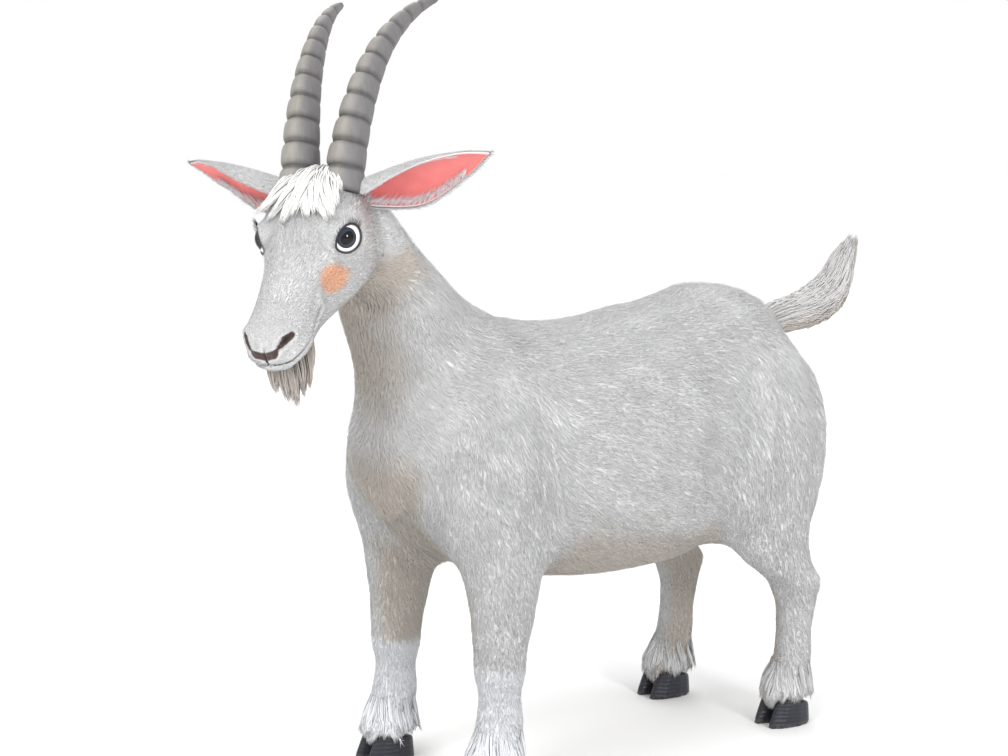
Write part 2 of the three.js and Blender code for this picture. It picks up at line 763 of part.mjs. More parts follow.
/** The tail: a flat core fringed with overlapping locks, turned up at the tip. */
function tail() {
  const across = v3(0, 1, 0);
  const halfWide = through([0, 0.3, 0.6, 0.85, 1], [15, 20, 23, 14, 3]);
  const halfTall = through([0, 0.3, 0.6, 0.85, 1], [14, 21, 25, 15, 3]);
  const rows = 9;
  const core = wrap(10, rows, (p, turn, row) => {
    const t = row / rows;
    const run = TAIL_LINE.getTangent(t);
    const up = run.clone().cross(across);
    const scale = row === 0 || row === rows ? 0 : 1;
    p.copy(TAIL_LINE.getPoint(t))
      .addScaledVector(across, Math.cos(turn * 2 * Math.PI) * halfWide(t) * scale)
      .addScaledVector(up, Math.sin(turn * 2 * Math.PI) * halfTall(t) * scale);
  });
  const tiers = 4;
  const perTier = 5;
  const locks = Array.from({ length: tiers * perTier }, (_, i) => {
    const tier = Math.floor(i / perTier);
    const t = 0.2 + (tier / tiers) * 0.78;
    const angle = (((i % perTier) + (tier % 2) / 2 + vary(0.15)) / perTier) * 2 * Math.PI;
    const run = TAIL_LINE.getTangent(Math.min(t, 1));
    const up = across.clone().cross(run).negate().normalize();
    const face = across
      .clone()
      .multiplyScalar(Math.cos(angle))
      .addScaledVector(up, Math.sin(angle));
    return lock({
      root: TAIL_LINE.getPoint(Math.min(t, 1))
        .addScaledVector(across, Math.cos(angle) * halfWide(t) * 0.8)
        .addScaledVector(up, Math.sin(angle) * halfTall(t) * 0.8),
      way: run.clone().addScaledVector(face, 0.24).normalize(),
      bend: v3(vary(0.04), Math.cos(angle) * -0.06, 0.16).addScaledVector(face, -0.12),
      face,
      length: 50 - tier * 3 + vary(5),
      wide: 11 + vary(1),
      thick: 3,
      sunk: 9,
    });
  });
  return largest(join(core, locks).subtract(bodyGrown));
}

// ---------------------------------------------------------------- horns, ears and eyes

/** A horn of ringed oval sections that rises from the poll and sweeps back. */
function horn(side, grow) {
  const [x, y, z] = HORN.root;
  const line = new THREE.CubicBezierCurve3(
    v3(x - 8, side * y, z - 4),
    v3(x + 60, side * (y + 4), z + 54),
    v3(x + 146, side * (y + 14), z + 86),
    v3(x + 236, side * (y + 30), z + 40),
  );
  const perRing = 2;
  const rows = HORN.rings * perRing + 3;
  const around = 12;
  return wrap(around, rows, (p, turn, row) => {
    const t = row / rows;
    const run = line.getTangent(t);
    const across = v3(0, side, 0).cross(run).normalize();
    const out = run.clone().cross(across);
    const taper = 1 - t ** 1.35 * 0.86;
    const ring = row % perRing === 0 ? -1 : 0.75;
    const ridge = HORN.ridge * ring * (1 - t) ** 0.5;
    const scale = row === 0 || row === rows ? 0 : 1;
    const a = turn * 2 * Math.PI;
    const keel = 1 + 0.1 * Math.max(0, -Math.cos(a)) ** 3;
    p.copy(line.getPoint(t))
      .addScaledVector(run, (t - 0.5) * 2 * grow)
      .addScaledVector(across, Math.cos(a) * (HORN.half[0] * taper * keel + ridge + grow) * scale)
      .addScaledVector(out, Math.sin(a) * (HORN.half[1] * taper + ridge + grow) * scale);
  });
}

/** An ear: a thin leaf rolled into a cup that opens forwards. */
function ear(side) {
  const level = headTurn.clone().multiplyScalar(0.2); // ears stay nearer level than the face
  const [x, y, z] = EAR.root;
  const root = v3(x, side * y, z);
  const out = v3(0.12, side * 0.95, 0.1).add(level).normalize();
  const open = v3(-0.93, side * -0.05, -0.3).normalize();
  open.addScaledVector(out, -open.dot(out)).normalize();
  const edge = out.clone().cross(open).normalize();
  const rows = 11;
  const around = 14;
  const half = through([0, 0.12, 0.45, 0.78, 1], [11, 16, EAR.half, 18, 0]);
  const roll = through([0, 0.3, 0.6, 1], [2.3, 1.5, 1.0, 0.5]);
  const line = new THREE.QuadraticBezierCurve3(
    root.clone().addScaledVector(out, -10),
    root.clone().addScaledVector(out, EAR.length * 0.5).addScaledVector(open, -5),
    root.clone().addScaledVector(out, EAR.length).addScaledVector(open, 4).add(v3(0, 0, 3)),
  );
  return wrap(around, rows, (p, turn, row) => {
    const t = row / rows;
    const inner = turn >= 0.5;
    const a = inner ? 1 - 4 * (turn - 0.5) : -1 + 4 * turn;
    const angle = roll(t);
    const radius = half(t) / Math.sin(Math.min(angle, Math.PI / 2));
    const wall = inner ? EAR.wall * Math.min(1, half(t) / 8) * (1 - a * a * 0.6) : 0;
    const r = Math.max(radius - wall, 0.01);
    const scale = row === 0 || row === rows ? 0 : 1;
    p.copy(line.getPoint(t))
      .addScaledVector(edge, Math.sin(a * angle) * r * scale)
      .addScaledVector(open, (radius - Math.cos(a * angle) * r) * scale);
  });
}

/** Left or right eyeball's centre and the way it looks, in the head's frame. */
function eyePlace(side) {
  const [x, y, z] = EYE.at;
  return { at: v3(x, side * y, z), look: v3(-0.42, side * 0.88, 0.16).normalize() };
}

function eyeball(side, grow) {
  const g = new THREE.SphereGeometry(EYE.radius + grow, 14, 9);
  const { at, look } = eyePlace(side);
  g.applyQuaternion(new THREE.Quaternion().setFromUnitVectors(v3(0, 1, 0), look));
  g.translate(at.x, at.y, at.z);
  return solid(g);
}

/** Lids: a shell over the eyeball with an almond opening. */
function lids(side) {
  const { at, look } = eyePlace(side);
  const shell = new THREE.SphereGeometry(EYE.radius + EYE.lid, 14, 10).translate(at.x, at.y, at.z);
  const [long, tall] = EYE.opening;
  const almond = new THREE.Shape();
  almond.moveTo(-long / 2, 0);
  almond.quadraticCurveTo(-long * 0.08, tall * 1.04, long / 2, -1.5);
  almond.quadraticCurveTo(0, -tall * 0.92, -long / 2, 0);
  const g = new THREE.ExtrudeGeometry(almond, { depth: 40, bevelEnabled: false, curveSegments: 5 });
  const forward = v3(-1, 0, 0.12).addScaledVector(look, look.x).normalize();
  const up = look.clone().cross(forward).multiplyScalar(side === LEFT ? 1 : -1);
  if (up.z < 0) up.negate();
  const turned = new THREE.Matrix4().makeBasis(forward, up, forward.clone().cross(up));
  if (forward.clone().cross(up).dot(look) < 0)
    turned.makeBasis(forward.clone().negate(), up, forward.clone().negate().cross(up));
  g.applyMatrix4(turned).translate(at.x, at.y, at.z);
  return solid(shell).subtract(solid(g));
}

// ---------------------------------------------------------------- details of the face

const MOUTH_LINE = [
  [-186, -17],
  [-166, -20.5],
  [-148, -21],
  [-128, -19],
  [-112, -13],
];
const LIP_GAP = 1.5;
const LIP_DEPTH = 3.5;

/** The line of the mouth: a strip that follows the lips all round the muzzle, only as deep as they are. */
function mouthCut() {
  const line = new THREE.SplineCurve(MOUTH_LINE.map(([x, z]) => new THREE.Vector2(x, z)));
  const points = line.getPoints(12);
  const thickness = (i) => LIP_GAP * (i === points.length - 1 ? 0.15 : 1);
  const shape = new THREE.Shape([
    ...points.map((p, i) => new THREE.Vector2(p.x, p.y + thickness(i) / 2)),
    ...points.map((p, i) => new THREE.Vector2(p.x, p.y - thickness(i) / 2)).reverse(),
  ]);
  const g = new THREE.ExtrudeGeometry(shape, { depth: 120, bevelEnabled: false });
  g.rotateX(Math.PI / 2).translate(0, 60, 0);
  const core = headForm.solid({ around: 16, rows: 14, grow: -LIP_DEPTH }).transform(toHeadFrame);
  return solid(g).subtract(core);
}

/** A comma-shaped nostril, sunk into each side of the nose. */
function nostril(side) {
  const commas = [
    { at: [-170, 13, 1.5], size: [8, 4.8, 3] },
    { at: [-163.5, 18.5, 3.5], size: [8, 5.4, 2.2] },
  ];
  return join(
    commas.map(({ at, size }) => {
      const g = new THREE.SphereGeometry(1, 8, 5).scale(...size).rotateZ(side * 0.7);
      return solid(g.translate(at[0], side * at[1], at[2]));
    }),
  );
}

/** The groove from the nose to the upper lip. */
function philtrum() {
  const g = new THREE.CapsuleGeometry(1.1, 17, 3, 8);
  g.rotateX(Math.PI / 2).rotateY(-0.18).translate(-179.6, 0, -8.5);
  return solid(g);
}

// ---------------------------------------------------------------- assembling the nodes

const goat = new THREE.Group();
const headGroup = new THREE.Group();
headGroup.applyMatrix4(headMatrix);
goat.add(headGroup);

/** Adds a solid to a group as a named mesh. */
function node(group, name, made, material) {
  const mesh = made.getMesh();
  const g = new THREE.BufferGeometry();
  const points = new Float32Array(mesh.numVert * 3);
  for (let i = 0; i < mesh.numVert; i++)
    points.set(mesh.vertProperties.subarray(i * mesh.numProp, i * mesh.numProp + 3), i * 3);
  g.setAttribute("position", new THREE.BufferAttribute(points, 3));
  g.setIndex(new THREE.BufferAttribute(new Uint32Array(mesh.triVerts), 1));
  const added = new THREE.Mesh(g, material);
  added.name = name;
  group.add(added);
}

const headTurn = v3(0, 0, 1).transformDirection(fromHead).sub(v3(0, 0, 1));
const bodyInHead = bodyGrown.transform(toHeadFrame);
const sides = { left: LEFT, right: RIGHT };
const hornsGrown = join(horn(LEFT, GAP), horn(RIGHT, GAP));

const frontInHead = atShoulders.ahead.transform(toHeadFrame);

// Legs, and the torso that is left once they are parted from it.
let torso = atShoulders.behind;
for (const [name, leg] of Object.entries(legs)) {
  const upperAndLower = largest(atShoulders.behind.intersect(legRegion(leg, 0)));
  torso = torso.subtract(legRegion(leg, GAP + 0.1));
  const upper = upperAndLower.trimByPlane([0, 0, 1], leg.cutZ + GAP / 2);
  let lower = upperAndLower.trimByPlane([0, 0, -1], -(leg.cutZ - GAP / 2));

  const [, front, rear, y] = leg.slices.find(([z]) => z === CORONET_Z);
  const foot = v3((front + rear) / 2 + leg.step + 1, leg.side * y, 0);
  lower = join(lower, fringe(foot));
  for (const [half, word] of [[leg.side, "outer"], [-leg.side, "inner"]]) {
    lower = lower.subtract(claw(foot, half, GAP)).subtract(dewclaw(foot, half, GAP));
    node(goat, `${name}_hoof_${word}`, claw(foot, half, 0), materials.hoof);
    node(goat, `${name}_dewclaw_${word}`, dewclaw(foot, half, 0), materials.hoof);
  }
  const stocking = name.startsWith("foreleg") ? materials.stocking : materials.coat;
  node(goat, `${name}_upper`, largest(upper), materials.coat);
  node(goat, `${name}_shank`, largest(lower), stocking);
}
node(goat, "torso", largest(torso), materials.coat);
const neck = frontInHead.subtract(headRegion(GAP)).transform(matrixList(headMatrix));
node(goat, "neck", largest(neck), materials.coat);
node(goat, "tail", tail(), materials.coat);

// The head and what it carries.
let head = largest(frontInHead.intersect(headRegion(0)));
for (const [word, side] of Object.entries(sides)) {
  head = join(head, lids(side)).subtract(eyeball(side, GAP)).subtract(nostril(side));
  node(headGroup, `eye_${word}`, eyeball(side, 0), materials.eye);
  node(headGroup, `horn_${word}`, largest(horn(side, 0).subtract(bodyInHead)), materials.horn);
  const cleared = ear(side).subtract(bodyInHead).subtract(hornsGrown);
  node(headGroup, `ear_${word}`, largest(cleared), materials.coat);
}
head = head.subtract(mouthCut()).subtract(philtrum());
node(headGroup, "head", largest(head), materials.coat);
node(headGroup, "beard", beard(), materials.beard);
node(headGroup, "forelock", forelock(), materials.forelock);

// The origin is under the middle of the whole model, on the floor.
goat.updateMatrixWorld(true);
const box = new THREE.Box3().setFromObject(goat, true);
goat.position.set(-(box.min.x + box.max.x) / 2, -(box.min.y + box.max.y) / 2, 0);

export default goat;
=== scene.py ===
"""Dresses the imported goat: skin, short coat, long hair, horns, hooves, ears and eyes, in a studio.

Lengths are metres in the row frame. The head has its own frame, in millimetres, with its origin in
the braincase, the muzzle towards -X, the goat's left towards -Y and the poll towards +Z.
"""

from __future__ import annotations

import logging
import math
from collections.abc import Sequence
from dataclasses import dataclass
from enum import Enum

import bmesh
import bpy
import numpy as np
from mathutils import Euler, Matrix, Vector
from mathutils.bvhtree import BVHTree

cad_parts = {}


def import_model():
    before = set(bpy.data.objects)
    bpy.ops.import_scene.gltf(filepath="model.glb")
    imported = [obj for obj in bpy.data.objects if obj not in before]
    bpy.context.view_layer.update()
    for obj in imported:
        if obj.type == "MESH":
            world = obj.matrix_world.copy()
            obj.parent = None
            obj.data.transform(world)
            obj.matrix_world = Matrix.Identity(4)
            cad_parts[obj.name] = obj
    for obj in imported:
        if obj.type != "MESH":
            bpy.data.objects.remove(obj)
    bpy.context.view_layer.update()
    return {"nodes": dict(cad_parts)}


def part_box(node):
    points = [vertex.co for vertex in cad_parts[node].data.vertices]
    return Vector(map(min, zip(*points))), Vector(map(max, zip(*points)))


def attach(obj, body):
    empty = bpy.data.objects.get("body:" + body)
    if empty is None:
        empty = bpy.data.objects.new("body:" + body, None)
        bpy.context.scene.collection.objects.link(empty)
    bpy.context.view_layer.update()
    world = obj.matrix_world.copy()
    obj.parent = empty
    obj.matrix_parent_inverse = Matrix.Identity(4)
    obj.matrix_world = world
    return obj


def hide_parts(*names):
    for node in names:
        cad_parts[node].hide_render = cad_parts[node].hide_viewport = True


Array = np.ndarray
Material = bpy.types.Material
Mesh = bpy.types.Mesh
Triple = tuple[float, float, float]

LOG = logging.getLogger("goat")
MM = 0.001
SEED = 20
LEFT = -1
RIGHT = 1
SIDES = ((LEFT, "left"), (RIGHT, "right"))
UP = np.array([0.0, 0.0, 1.0])
ACROSS = np.array([0.0, 1.0, 0.0])
TURN = 2 * math.pi


class Region(Enum):
    """The parts of the body that the coat tells apart."""

    TORSO = 0
    NECK = 1
    HEAD = 2
    UPPER_LEG = 3
    SHANK = 4
    TAIL = 5


@dataclass(frozen=True)
class Pelt:
    """A region's coat in millimetres: depth, a tuft's length and half width, and how it lies."""

    depth: float
    length: float
    wide: float
    lie: Triple


LEG_NAMES = ("foreleg_left", "foreleg_right", "hindleg_left", "hindleg_right")
FLESH = {
    "torso": Region.TORSO,
    "neck": Region.NECK,
    "head": Region.HEAD,
    **{f"{leg}_upper": Region.UPPER_LEG for leg in LEG_NAMES},
    **{f"{leg}_shank": Region.SHANK for leg in LEG_NAMES},
}
PELTS = {
    Region.TORSO: Pelt(2.8, 14.0, 0.6, (1.0, 0.0, -0.45)),
    Region.NECK: Pelt(2.8, 14.0, 0.6, (0.54, 0.02, -0.84)),
    Region.HEAD: Pelt(1.4, 8.0, 0.52, (0.0, 0.0, 0.0)),
    Region.UPPER_LEG: Pelt(2.4, 13.0, 0.68, (0.18, 0.0, -1.0)),
    Region.SHANK: Pelt(1.4, 8.5, 0.56, (0.06, 0.0, -1.0)),
    Region.TAIL: Pelt(3.0, 16.0, 0.7, (1.0, 0.0, 0.25)),
}


# ---------------------------------------------------------------- numbers and small helpers


def smooth(value: Array | float, low: float, high: float) -> Array:
    """A soft step from 0 at low to 1 at high, which may run downwards."""
    t = np.clip((value - low) / (high - low), 0.0, 1.0)
    return t * t * (3 - 2 * t)


def unit(vectors: Array) -> Array:
    """The same vectors with a length of 1."""
    return vectors / np.maximum(np.linalg.norm(vectors, axis=-1, keepdims=True), 1e-9)


def flat_on(vectors: Array, normals: Array) -> Array:
    """Vectors laid in the planes that the normals stand on, with a length of 1."""
    return unit(vectors - normals * np.sum(vectors * normals, axis=-1, keepdims=True))


def among(region: Array, *wanted: Region) -> Array:
    """Which points belong to one of the wanted regions."""
    return np.isin(region, [one.value for one in wanted])


def ripple(points: Array, size: float, phase: float) -> Array:
    """Soft noise from -1 to 1 in space.

    Args:
        points: Places in metres.
        size: About how far apart its rises lie.
        phase: Tells one noise from another.

    Returns:
        One number a point.
    """
    p = points * (TURN / size)
    total = np.sin(p @ np.array([1.0, 0.31, -0.22]) + phase)
    total += np.sin(p @ np.array([-0.27, 0.93, 0.41]) + 1.7 * phase + 1.1)
    total += np.sin(p @ np.array([0.38, -0.36, 0.88]) + 2.3 * phase + 2.9)
    total += 0.6 * np.sin(p @ np.array([1.3, 1.1, 1.7]) + 3.1 * phase)
    return total / 3.6


def through(knots: Sequence[float], values: Sequence[float], at: Array | float) -> Array:
    """A smooth run through values at rising knots, read at some places.

    Args:
        knots: Rising places.
        values: The value at each.
        at: Where to read.

    Returns:
        The values read.
    """
    t = np.clip(at, knots[0], knots[-1])
    i = np.clip(np.searchsorted(knots, t, side="right") - 1, 0, len(knots) - 2)
    k, v = np.array(knots, float), np.array(values, float)
    step = np.diff(v) / np.diff(k)
    slope = np.concatenate([step[:1], np.zeros(len(k) - 2), step[-1:]])
    both = step[:-1] * step[1:]
    total = step[:-1] + step[1:]
    slope[1:-1] = np.where(both > 0, 2 * both / np.where(total == 0, 1, total), 0.0)
    h = k[i + 1] - k[i]
    s = (t - k[i]) / h
    first = (2 * s**3 - 3 * s**2 + 1) * v[i] + (s**3 - 2 * s**2 + s) * h * slope[i]
    return first + (3 * s**2 - 2 * s**3) * v[i + 1] + (s**3 - s**2) * h * slope[i + 1]


def bezier(stops: list[Array], t: Array) -> Array:
    """Points of a Bezier curve, by repeated blending.

    Args:
        stops: Any number of control points.
        t: Places from 0 to 1 along it.

    Returns:
        One point a place.
    """
    rows = [np.broadcast_to(np.asarray(p, float), (*t.shape, 3)) for p in stops]
    while len(rows) > 1:
        rows = [a + (b - a) * t[..., None] for a, b in zip(rows, rows[1:])]
    return rows[0]


# ---------------------------------------------------------------- shader maths


@dataclass
class Socket:
    """An output socket that takes part in Python sums; each sum adds its Math node."""

    finish: "Finish"
    output: bpy.types.NodeSocket

    def _math(self, operation: str, *values: "Socket | float") -> "Socket":
        """Adds a Math node on the values."""
        return self.finish.node("ShaderNodeMath", {"operation": operation}, dict(enumerate(values)))

    def __add__(self, other: "Socket | float") -> "Socket":
        """self + other."""
        return self._math("ADD", self, other)

    __radd__ = __add__

    def __sub__(self, other: "Socket | float") -> "Socket":
        """self - other."""
        return self._math("SUBTRACT", self, other)

    def __rsub__(self, other: "Socket | float") -> "Socket":
        """other - self."""
        return self._math("SUBTRACT", other, self)

    def __mul__(self, other: "Socket | float") -> "Socket":
        """self * other."""
        return self._math("MULTIPLY", self, other)

    __rmul__ = __mul__

    def sine(self) -> "Socket":
        """The sine of self."""
        return self._math("SINE", self)

    def step(self, low: float, high: float) -> "Socket":
        """A soft step from 0 at low to 1 at high."""
        inputs = {"Value": self, "From Min": low, "From Max": high}
        return self.finish.node("ShaderNodeMapRange", {"interpolation_type": "SMOOTHSTEP"}, inputs)


def paint(code: str) -> tuple[float, float, float, float]:
    """A shader colour.

    Args:
        code: Its hexadecimal sRGB code.

    Returns:
        The colour in linear light, opaque.
    """
    parts = [int(code[i : i + 2], 16) / 255 for i in (1, 3, 5)]
    line = [c / 12.92 if c <= 0.04045 else ((c + 0.055) / 1.055) ** 2.4 for c in parts]
    return (*line, 1.0)


class Finish:
    """A material under construction."""

    def __init__(self, name: str, **surface: float | tuple) -> None:
        """Starts a material.

        Args:
            name: The material's name.
            surface: Values set on the shader's own sockets, with _ for a space.
        """
        self.material = bpy.data.materials.new(name)
        self.material.use_nodes = True
        self.tree = self.material.node_tree
        self.shader = next(n for n in self.tree.nodes if n.type == "BSDF_PRINCIPLED")
        self.feed(**surface)

    def node(
        self,
        kind: str,
        settings: dict | None = None,
        inputs: dict | None = None,
        output: int | str = 0,
    ) -> Socket:
        """Adds a node.

        Args:
            kind: The node's type.
            settings: Its own settings.
            inputs: Values or sockets for its inputs, by name or number.
            output: The output to read.

        Returns:
            That output.
        """
        made = self.tree.nodes.new(kind)
        for key, value in (settings or {}).items():
            setattr(made, key, value)
        for key, value in (inputs or {}).items():
            self.link(value, made.inputs[key])
        return Socket(self, made.outputs[output])

    def link(self, value: Socket | float | tuple, target: bpy.types.NodeSocket) -> None:
        """Puts a value or a link into a socket.

        Args:
            value: The value or the socket to link.
            target: Where it goes.
        """
        if isinstance(value, Socket):
            self.tree.links.new(value.output, target)
        elif target.type == "VECTOR":
            target.default_value = value[:3]
        else:
            target.default_value = value

    def feed(self, **sockets: Socket | float) -> Material:
        """Puts values or links into the shader's inputs.

        Args:
            sockets: What goes into each, with _ for a space.

        Returns:
            The material.
        """
        for key, value in sockets.items():
            self.link(value, self.shader.inputs[key.replace("_", " ")])
        return self.material

    def read(self, attribute: str, part: str = "Fac") -> Socket:
        """Reads an attribute of the mesh."""
        return self.node("ShaderNodeAttribute", {"attribute_name": attribute}, output=part)

    def channels(self, attribute: str) -> list[Socket]:
        """The three numbers of a colour attribute."""
        split = self.node("ShaderNodeSeparateColor", None, {0: self.read(attribute, "Color")})
        return [Socket(self, output) for output in split.output.node.outputs]

    def mix(self, share: Socket | float, a: Socket | tuple, b: Socket | tuple) -> Socket:
        """A colour between a at 0 and b at 1."""
        return self.node("ShaderNodeMix", {"data_type": "RGBA"}, {0: share, 6: a, 7: b}, 2)

    def shade(self, colour: Socket | tuple, factor: Socket) -> Socket:
        """A colour times a number."""
        inputs = {"Vector": colour, "Scale": factor}
        return self.node("ShaderNodeVectorMath", {"operation": "SCALE"}, inputs, "Vector")

    def place(self) -> Socket:
        """Object coordinates."""
        return self.node("ShaderNodeTexCoord", output="Object")

    def noise(self, scale: float, stretch: tuple = (1, 1, 1), detail: float = 3.0) -> Socket:
        """Noise on object coordinates, from 0 to 1.

        Args:
            scale: Rises to a metre.
            stretch: How much denser it is along each axis.
            detail: Finer layers.

        Returns:
            The noise's number.
        """
        at = self.node("ShaderNodeMapping", None, {"Vector": self.place(), "Scale": stretch})
        inputs = {"Vector": at, "Scale": scale, "Detail": detail}
        return self.node("ShaderNodeTexNoise", None, inputs)

    def bump(self, height: Socket, depth: float, strength: float) -> Socket:
        """A normal roughened by a height of some depth in metres."""
        inputs = {"Height": height, "Distance": depth, "Strength": strength}
        return self.node("ShaderNodeBump", None, inputs)


# ---------------------------------------------------------------- finishes


@dataclass(frozen=True)
class CoatFinish:
    """Short hair, markings, a taupe underside of tint and painted shade, and bare nose and lips."""

    coat: str = "#dcdcdd"
    # taupe of the underside and the legs' inner sides: a hair tint that is also painted shade
    underside_tint_and_shade: str = "#cbc2b8"
    stocking: str = "#f3f5f9"
    patch: str = "#fbbd96"
    bare: str = "#402d27"
    mouth: str = "#2a211f"

    def make(self) -> Material:
        """Makes the material, which reads the meshes' marks, tone and reach; all three carry painted
        shade.

        Returns:
            The material.
        """
        f = Finish("goat_coat", Specular_IOR_Level=0.28, Sheen_Weight=0.25, Sheen_Roughness=0.5)
        under, sock, patch = f.channels("marks")
        bare, mouth, _ = f.channels("face_marks")
        tone, reach = f.read("tone"), f.read("reach")
        colour = f.mix(under, paint(self.coat), paint(self.underside_tint_and_shade))
        colour = f.mix(sock, colour, paint(self.stocking))
        colour = f.mix(patch, colour, paint(self.patch))
        colour = f.mix(bare, colour, paint(self.bare))
        colour = f.mix(mouth, colour, paint(self.mouth))
        cloud = f.noise(26.0, detail=2.0)
        fine = f.noise(700.0, (0.35, 1.0, 1.0), 2.0)
        cells = {"Vector": f.place(), "Scale": 520.0}
        pebble = f.node("ShaderNodeTexVoronoi", None, cells, "Distance")
        height = fine * (1.0 - bare) - 1.4 * pebble * bare
        # Painted shade: darker towards the tufts' roots, where reach is low, and where tone was
        # lowered.
        light = 0.86 + 0.14 * reach + 0.4 * (tone - 0.5) + 0.1 * (cloud - 0.5)
        return f.feed(
            Base_Color=f.shade(colour, light),
            Roughness=0.8 - 0.38 * bare,
            Normal=f.bump(height, 0.0007, 0.5),
        )


@dataclass(frozen=True)
class HairFinish:
    """Longer hair of one colour, with painted shade towards the root: forelock, beard or lashes."""

    name: str
    tip: str
    # darker colour at the root: painted shade deep in the hair
    root: str

    def make(self) -> Material:
        """Makes the material, which reads the meshes' tone and reach.

        Returns:
            The material.
        """
        f = Finish(self.name, Specular_IOR_Level=0.32, Sheen_Weight=0.2, Roughness=0.72)
        colour = f.mix(f.read("reach").step(0.0, 0.8), paint(self.root), paint(self.tip))
        return f.feed(
            Base_Color=f.shade(colour, 0.88 + 0.24 * f.read("tone")),
            Normal=f.bump(f.noise(900.0, detail=2.0), 0.0005, 0.4),
        )


@dataclass(frozen=True)
class HornFinish:
    """Ringed horn with painted light on one flank, painted shade on the other and in its grooves."""

    # the flank colours are painted light and painted shade; the groove colour is painted shade
    pale: str = "#8a8680"
    dark: str = "#6c6a6b"
    groove: str = "#2f2b2b"

    def make(self) -> Material:
        """Makes the material, which reads painted groove shade, lit flank and height from the mesh.

        Returns:
            The material.
        """
        f = Finish("horn", Specular_IOR_Level=0.45)
        groove, lit_flank, along = f.channels("horn_marks")
        streak = f.noise(240.0, (1.0, 1.0, 0.16), 4.0)
        # painted light on one flank, painted shade on the other
        colour = f.mix(lit_flank, paint(self.dark), paint(self.pale))
        # painted shade in the grooves between the rings
        colour = f.mix(groove, colour, paint(self.groove))
        return f.feed(
            Base_Color=f.shade(colour, 0.82 + 0.36 * streak - 0.12 * along),
            Roughness=0.42 + 0.22 * streak,
            Normal=f.bump(streak, 0.0012, 0.6),
        )


@dataclass(frozen=True)
class HoofFinish:
    """Dark slate hoof horn with fine growth rings."""

    wall: str = "#282931"
    worn: str = "#56524e"
    rings: float = 1500.0  # radians of growth rings to a metre

    def make(self) -> Material:
        """Makes the material, which is worn by the ground.

        Returns:
            The material.
        """
        f = Finish("hoof", Specular_IOR_Level=0.35)
        height = f.node("ShaderNodeSeparateXYZ", None, {0: f.place()}, "Z")
        ring = (height * self.rings + f.noise(60.0, detail=2.0) * 5.0).sine()
        scuff = f.noise(420.0, (1.0, 1.0, 0.5), 4.0)
        edge = (1.0 - height.step(0.001, 0.007)) * scuff.step(0.35, 0.6)
        colour = f.mix(edge * 0.7, paint(self.wall), paint(self.worn))
        return f.feed(
            Base_Color=f.shade(colour, 0.8 + 0.3 * scuff + 0.06 * ring),
            Roughness=0.3 + 0.3 * scuff,
            Normal=f.bump(ring * 0.5 + scuff, 0.0004, 0.6),
        )


@dataclass(frozen=True)
class EarFinish:
    """The ear's sheet: pink skin in the cup, with painted shade towards the root, and coat on its
    back.
    """

    pink: str = "#e37c79"
    # deeper pink towards the ear's root: painted shade in the cup
    deep: str = "#cc6a69"
    coat: str = "#dadadb"

    def make(self) -> Material:
        """Makes the material, which reads cup, painted depth shade and veins from the mesh.

        Returns:
            The material.
        """
        f = Finish("ear_skin", Specular_IOR_Level=0.35, Sheen_Weight=0.2)
        cup, depth, vein = f.channels("ear_marks")
        # painted shade: the pink darkens towards the root
        skin = f.mix(depth, paint(self.pink), paint(self.deep))
        skin = f.shade(skin, 0.92 + 0.16 * f.noise(90.0) - 0.1 * vein)
        return f.feed(
            Base_Color=f.mix(cup, paint(self.coat), skin),
            Roughness=0.8 - 0.25 * cup,
            Normal=f.bump(f.noise(500.0) + vein * 0.8, 0.0006, 0.5),
        )


@dataclass(frozen=True)
class EyeFinish:
    """A wet eye: white, dark slate iris and a level oval pupil."""

    white: str = "#f4f2ef"
    corner: str = "#c9a39c"
    iris: str = "#2c323f"
    rim: str = "#15171c"
    pupil: str = "#050506"

    def make(self) -> Material:
        """Makes the material, which reads where on the ball a point is.

        Returns:
            The material.
        """
        f = Finish(
            "eye", Roughness=0.3, Specular_IOR_Level=0.0, Coat_Weight=0.6, Coat_Roughness=0.02
        )
        ring, pupil, spoke = f.channels("eye_marks")
        inputs = {"W": spoke * 90.0, "Detail": 4.0}
        lines = f.node("ShaderNodeTexNoise", {"noise_dimensions": "1D"}, inputs)
        iris = f.shade(paint(self.iris), 0.55 + 0.9 * lines)
        iris = f.mix(ring.step(0.80, 1.0), iris, paint(self.rim))
        colour = f.mix(ring.step(0.985, 1.035), iris, paint(self.white))
        colour = f.mix(ring.step(1.25, 1.6) * 0.35, colour, paint(self.corner))
        return f.feed(Base_Color=f.mix(pupil.step(1.06, 0.97), colour, paint(self.pupil)))


@dataclass(frozen=True)
class LidFinish:
    """Dark bare skin at the edge of the lids, fading into the coat."""

    edge: str = "#26242a"
    coat: str = "#d0cfd0"

    def make(self) -> Material:
        """Makes the material, which reads edge from the mesh.

        Returns:
            The material.
        """
        f = Finish("lid", Specular_IOR_Level=0.4)
        edge = f.read("edge")
        return f.feed(
            Base_Color=f.mix(edge, paint(self.coat), paint(self.edge)),
            Roughness=0.75 - 0.35 * edge,
            Normal=f.bump(f.noise(900.0), 0.0004, 0.5),
        )


# ---------------------------------------------------------------- meshes from arrays and bmesh


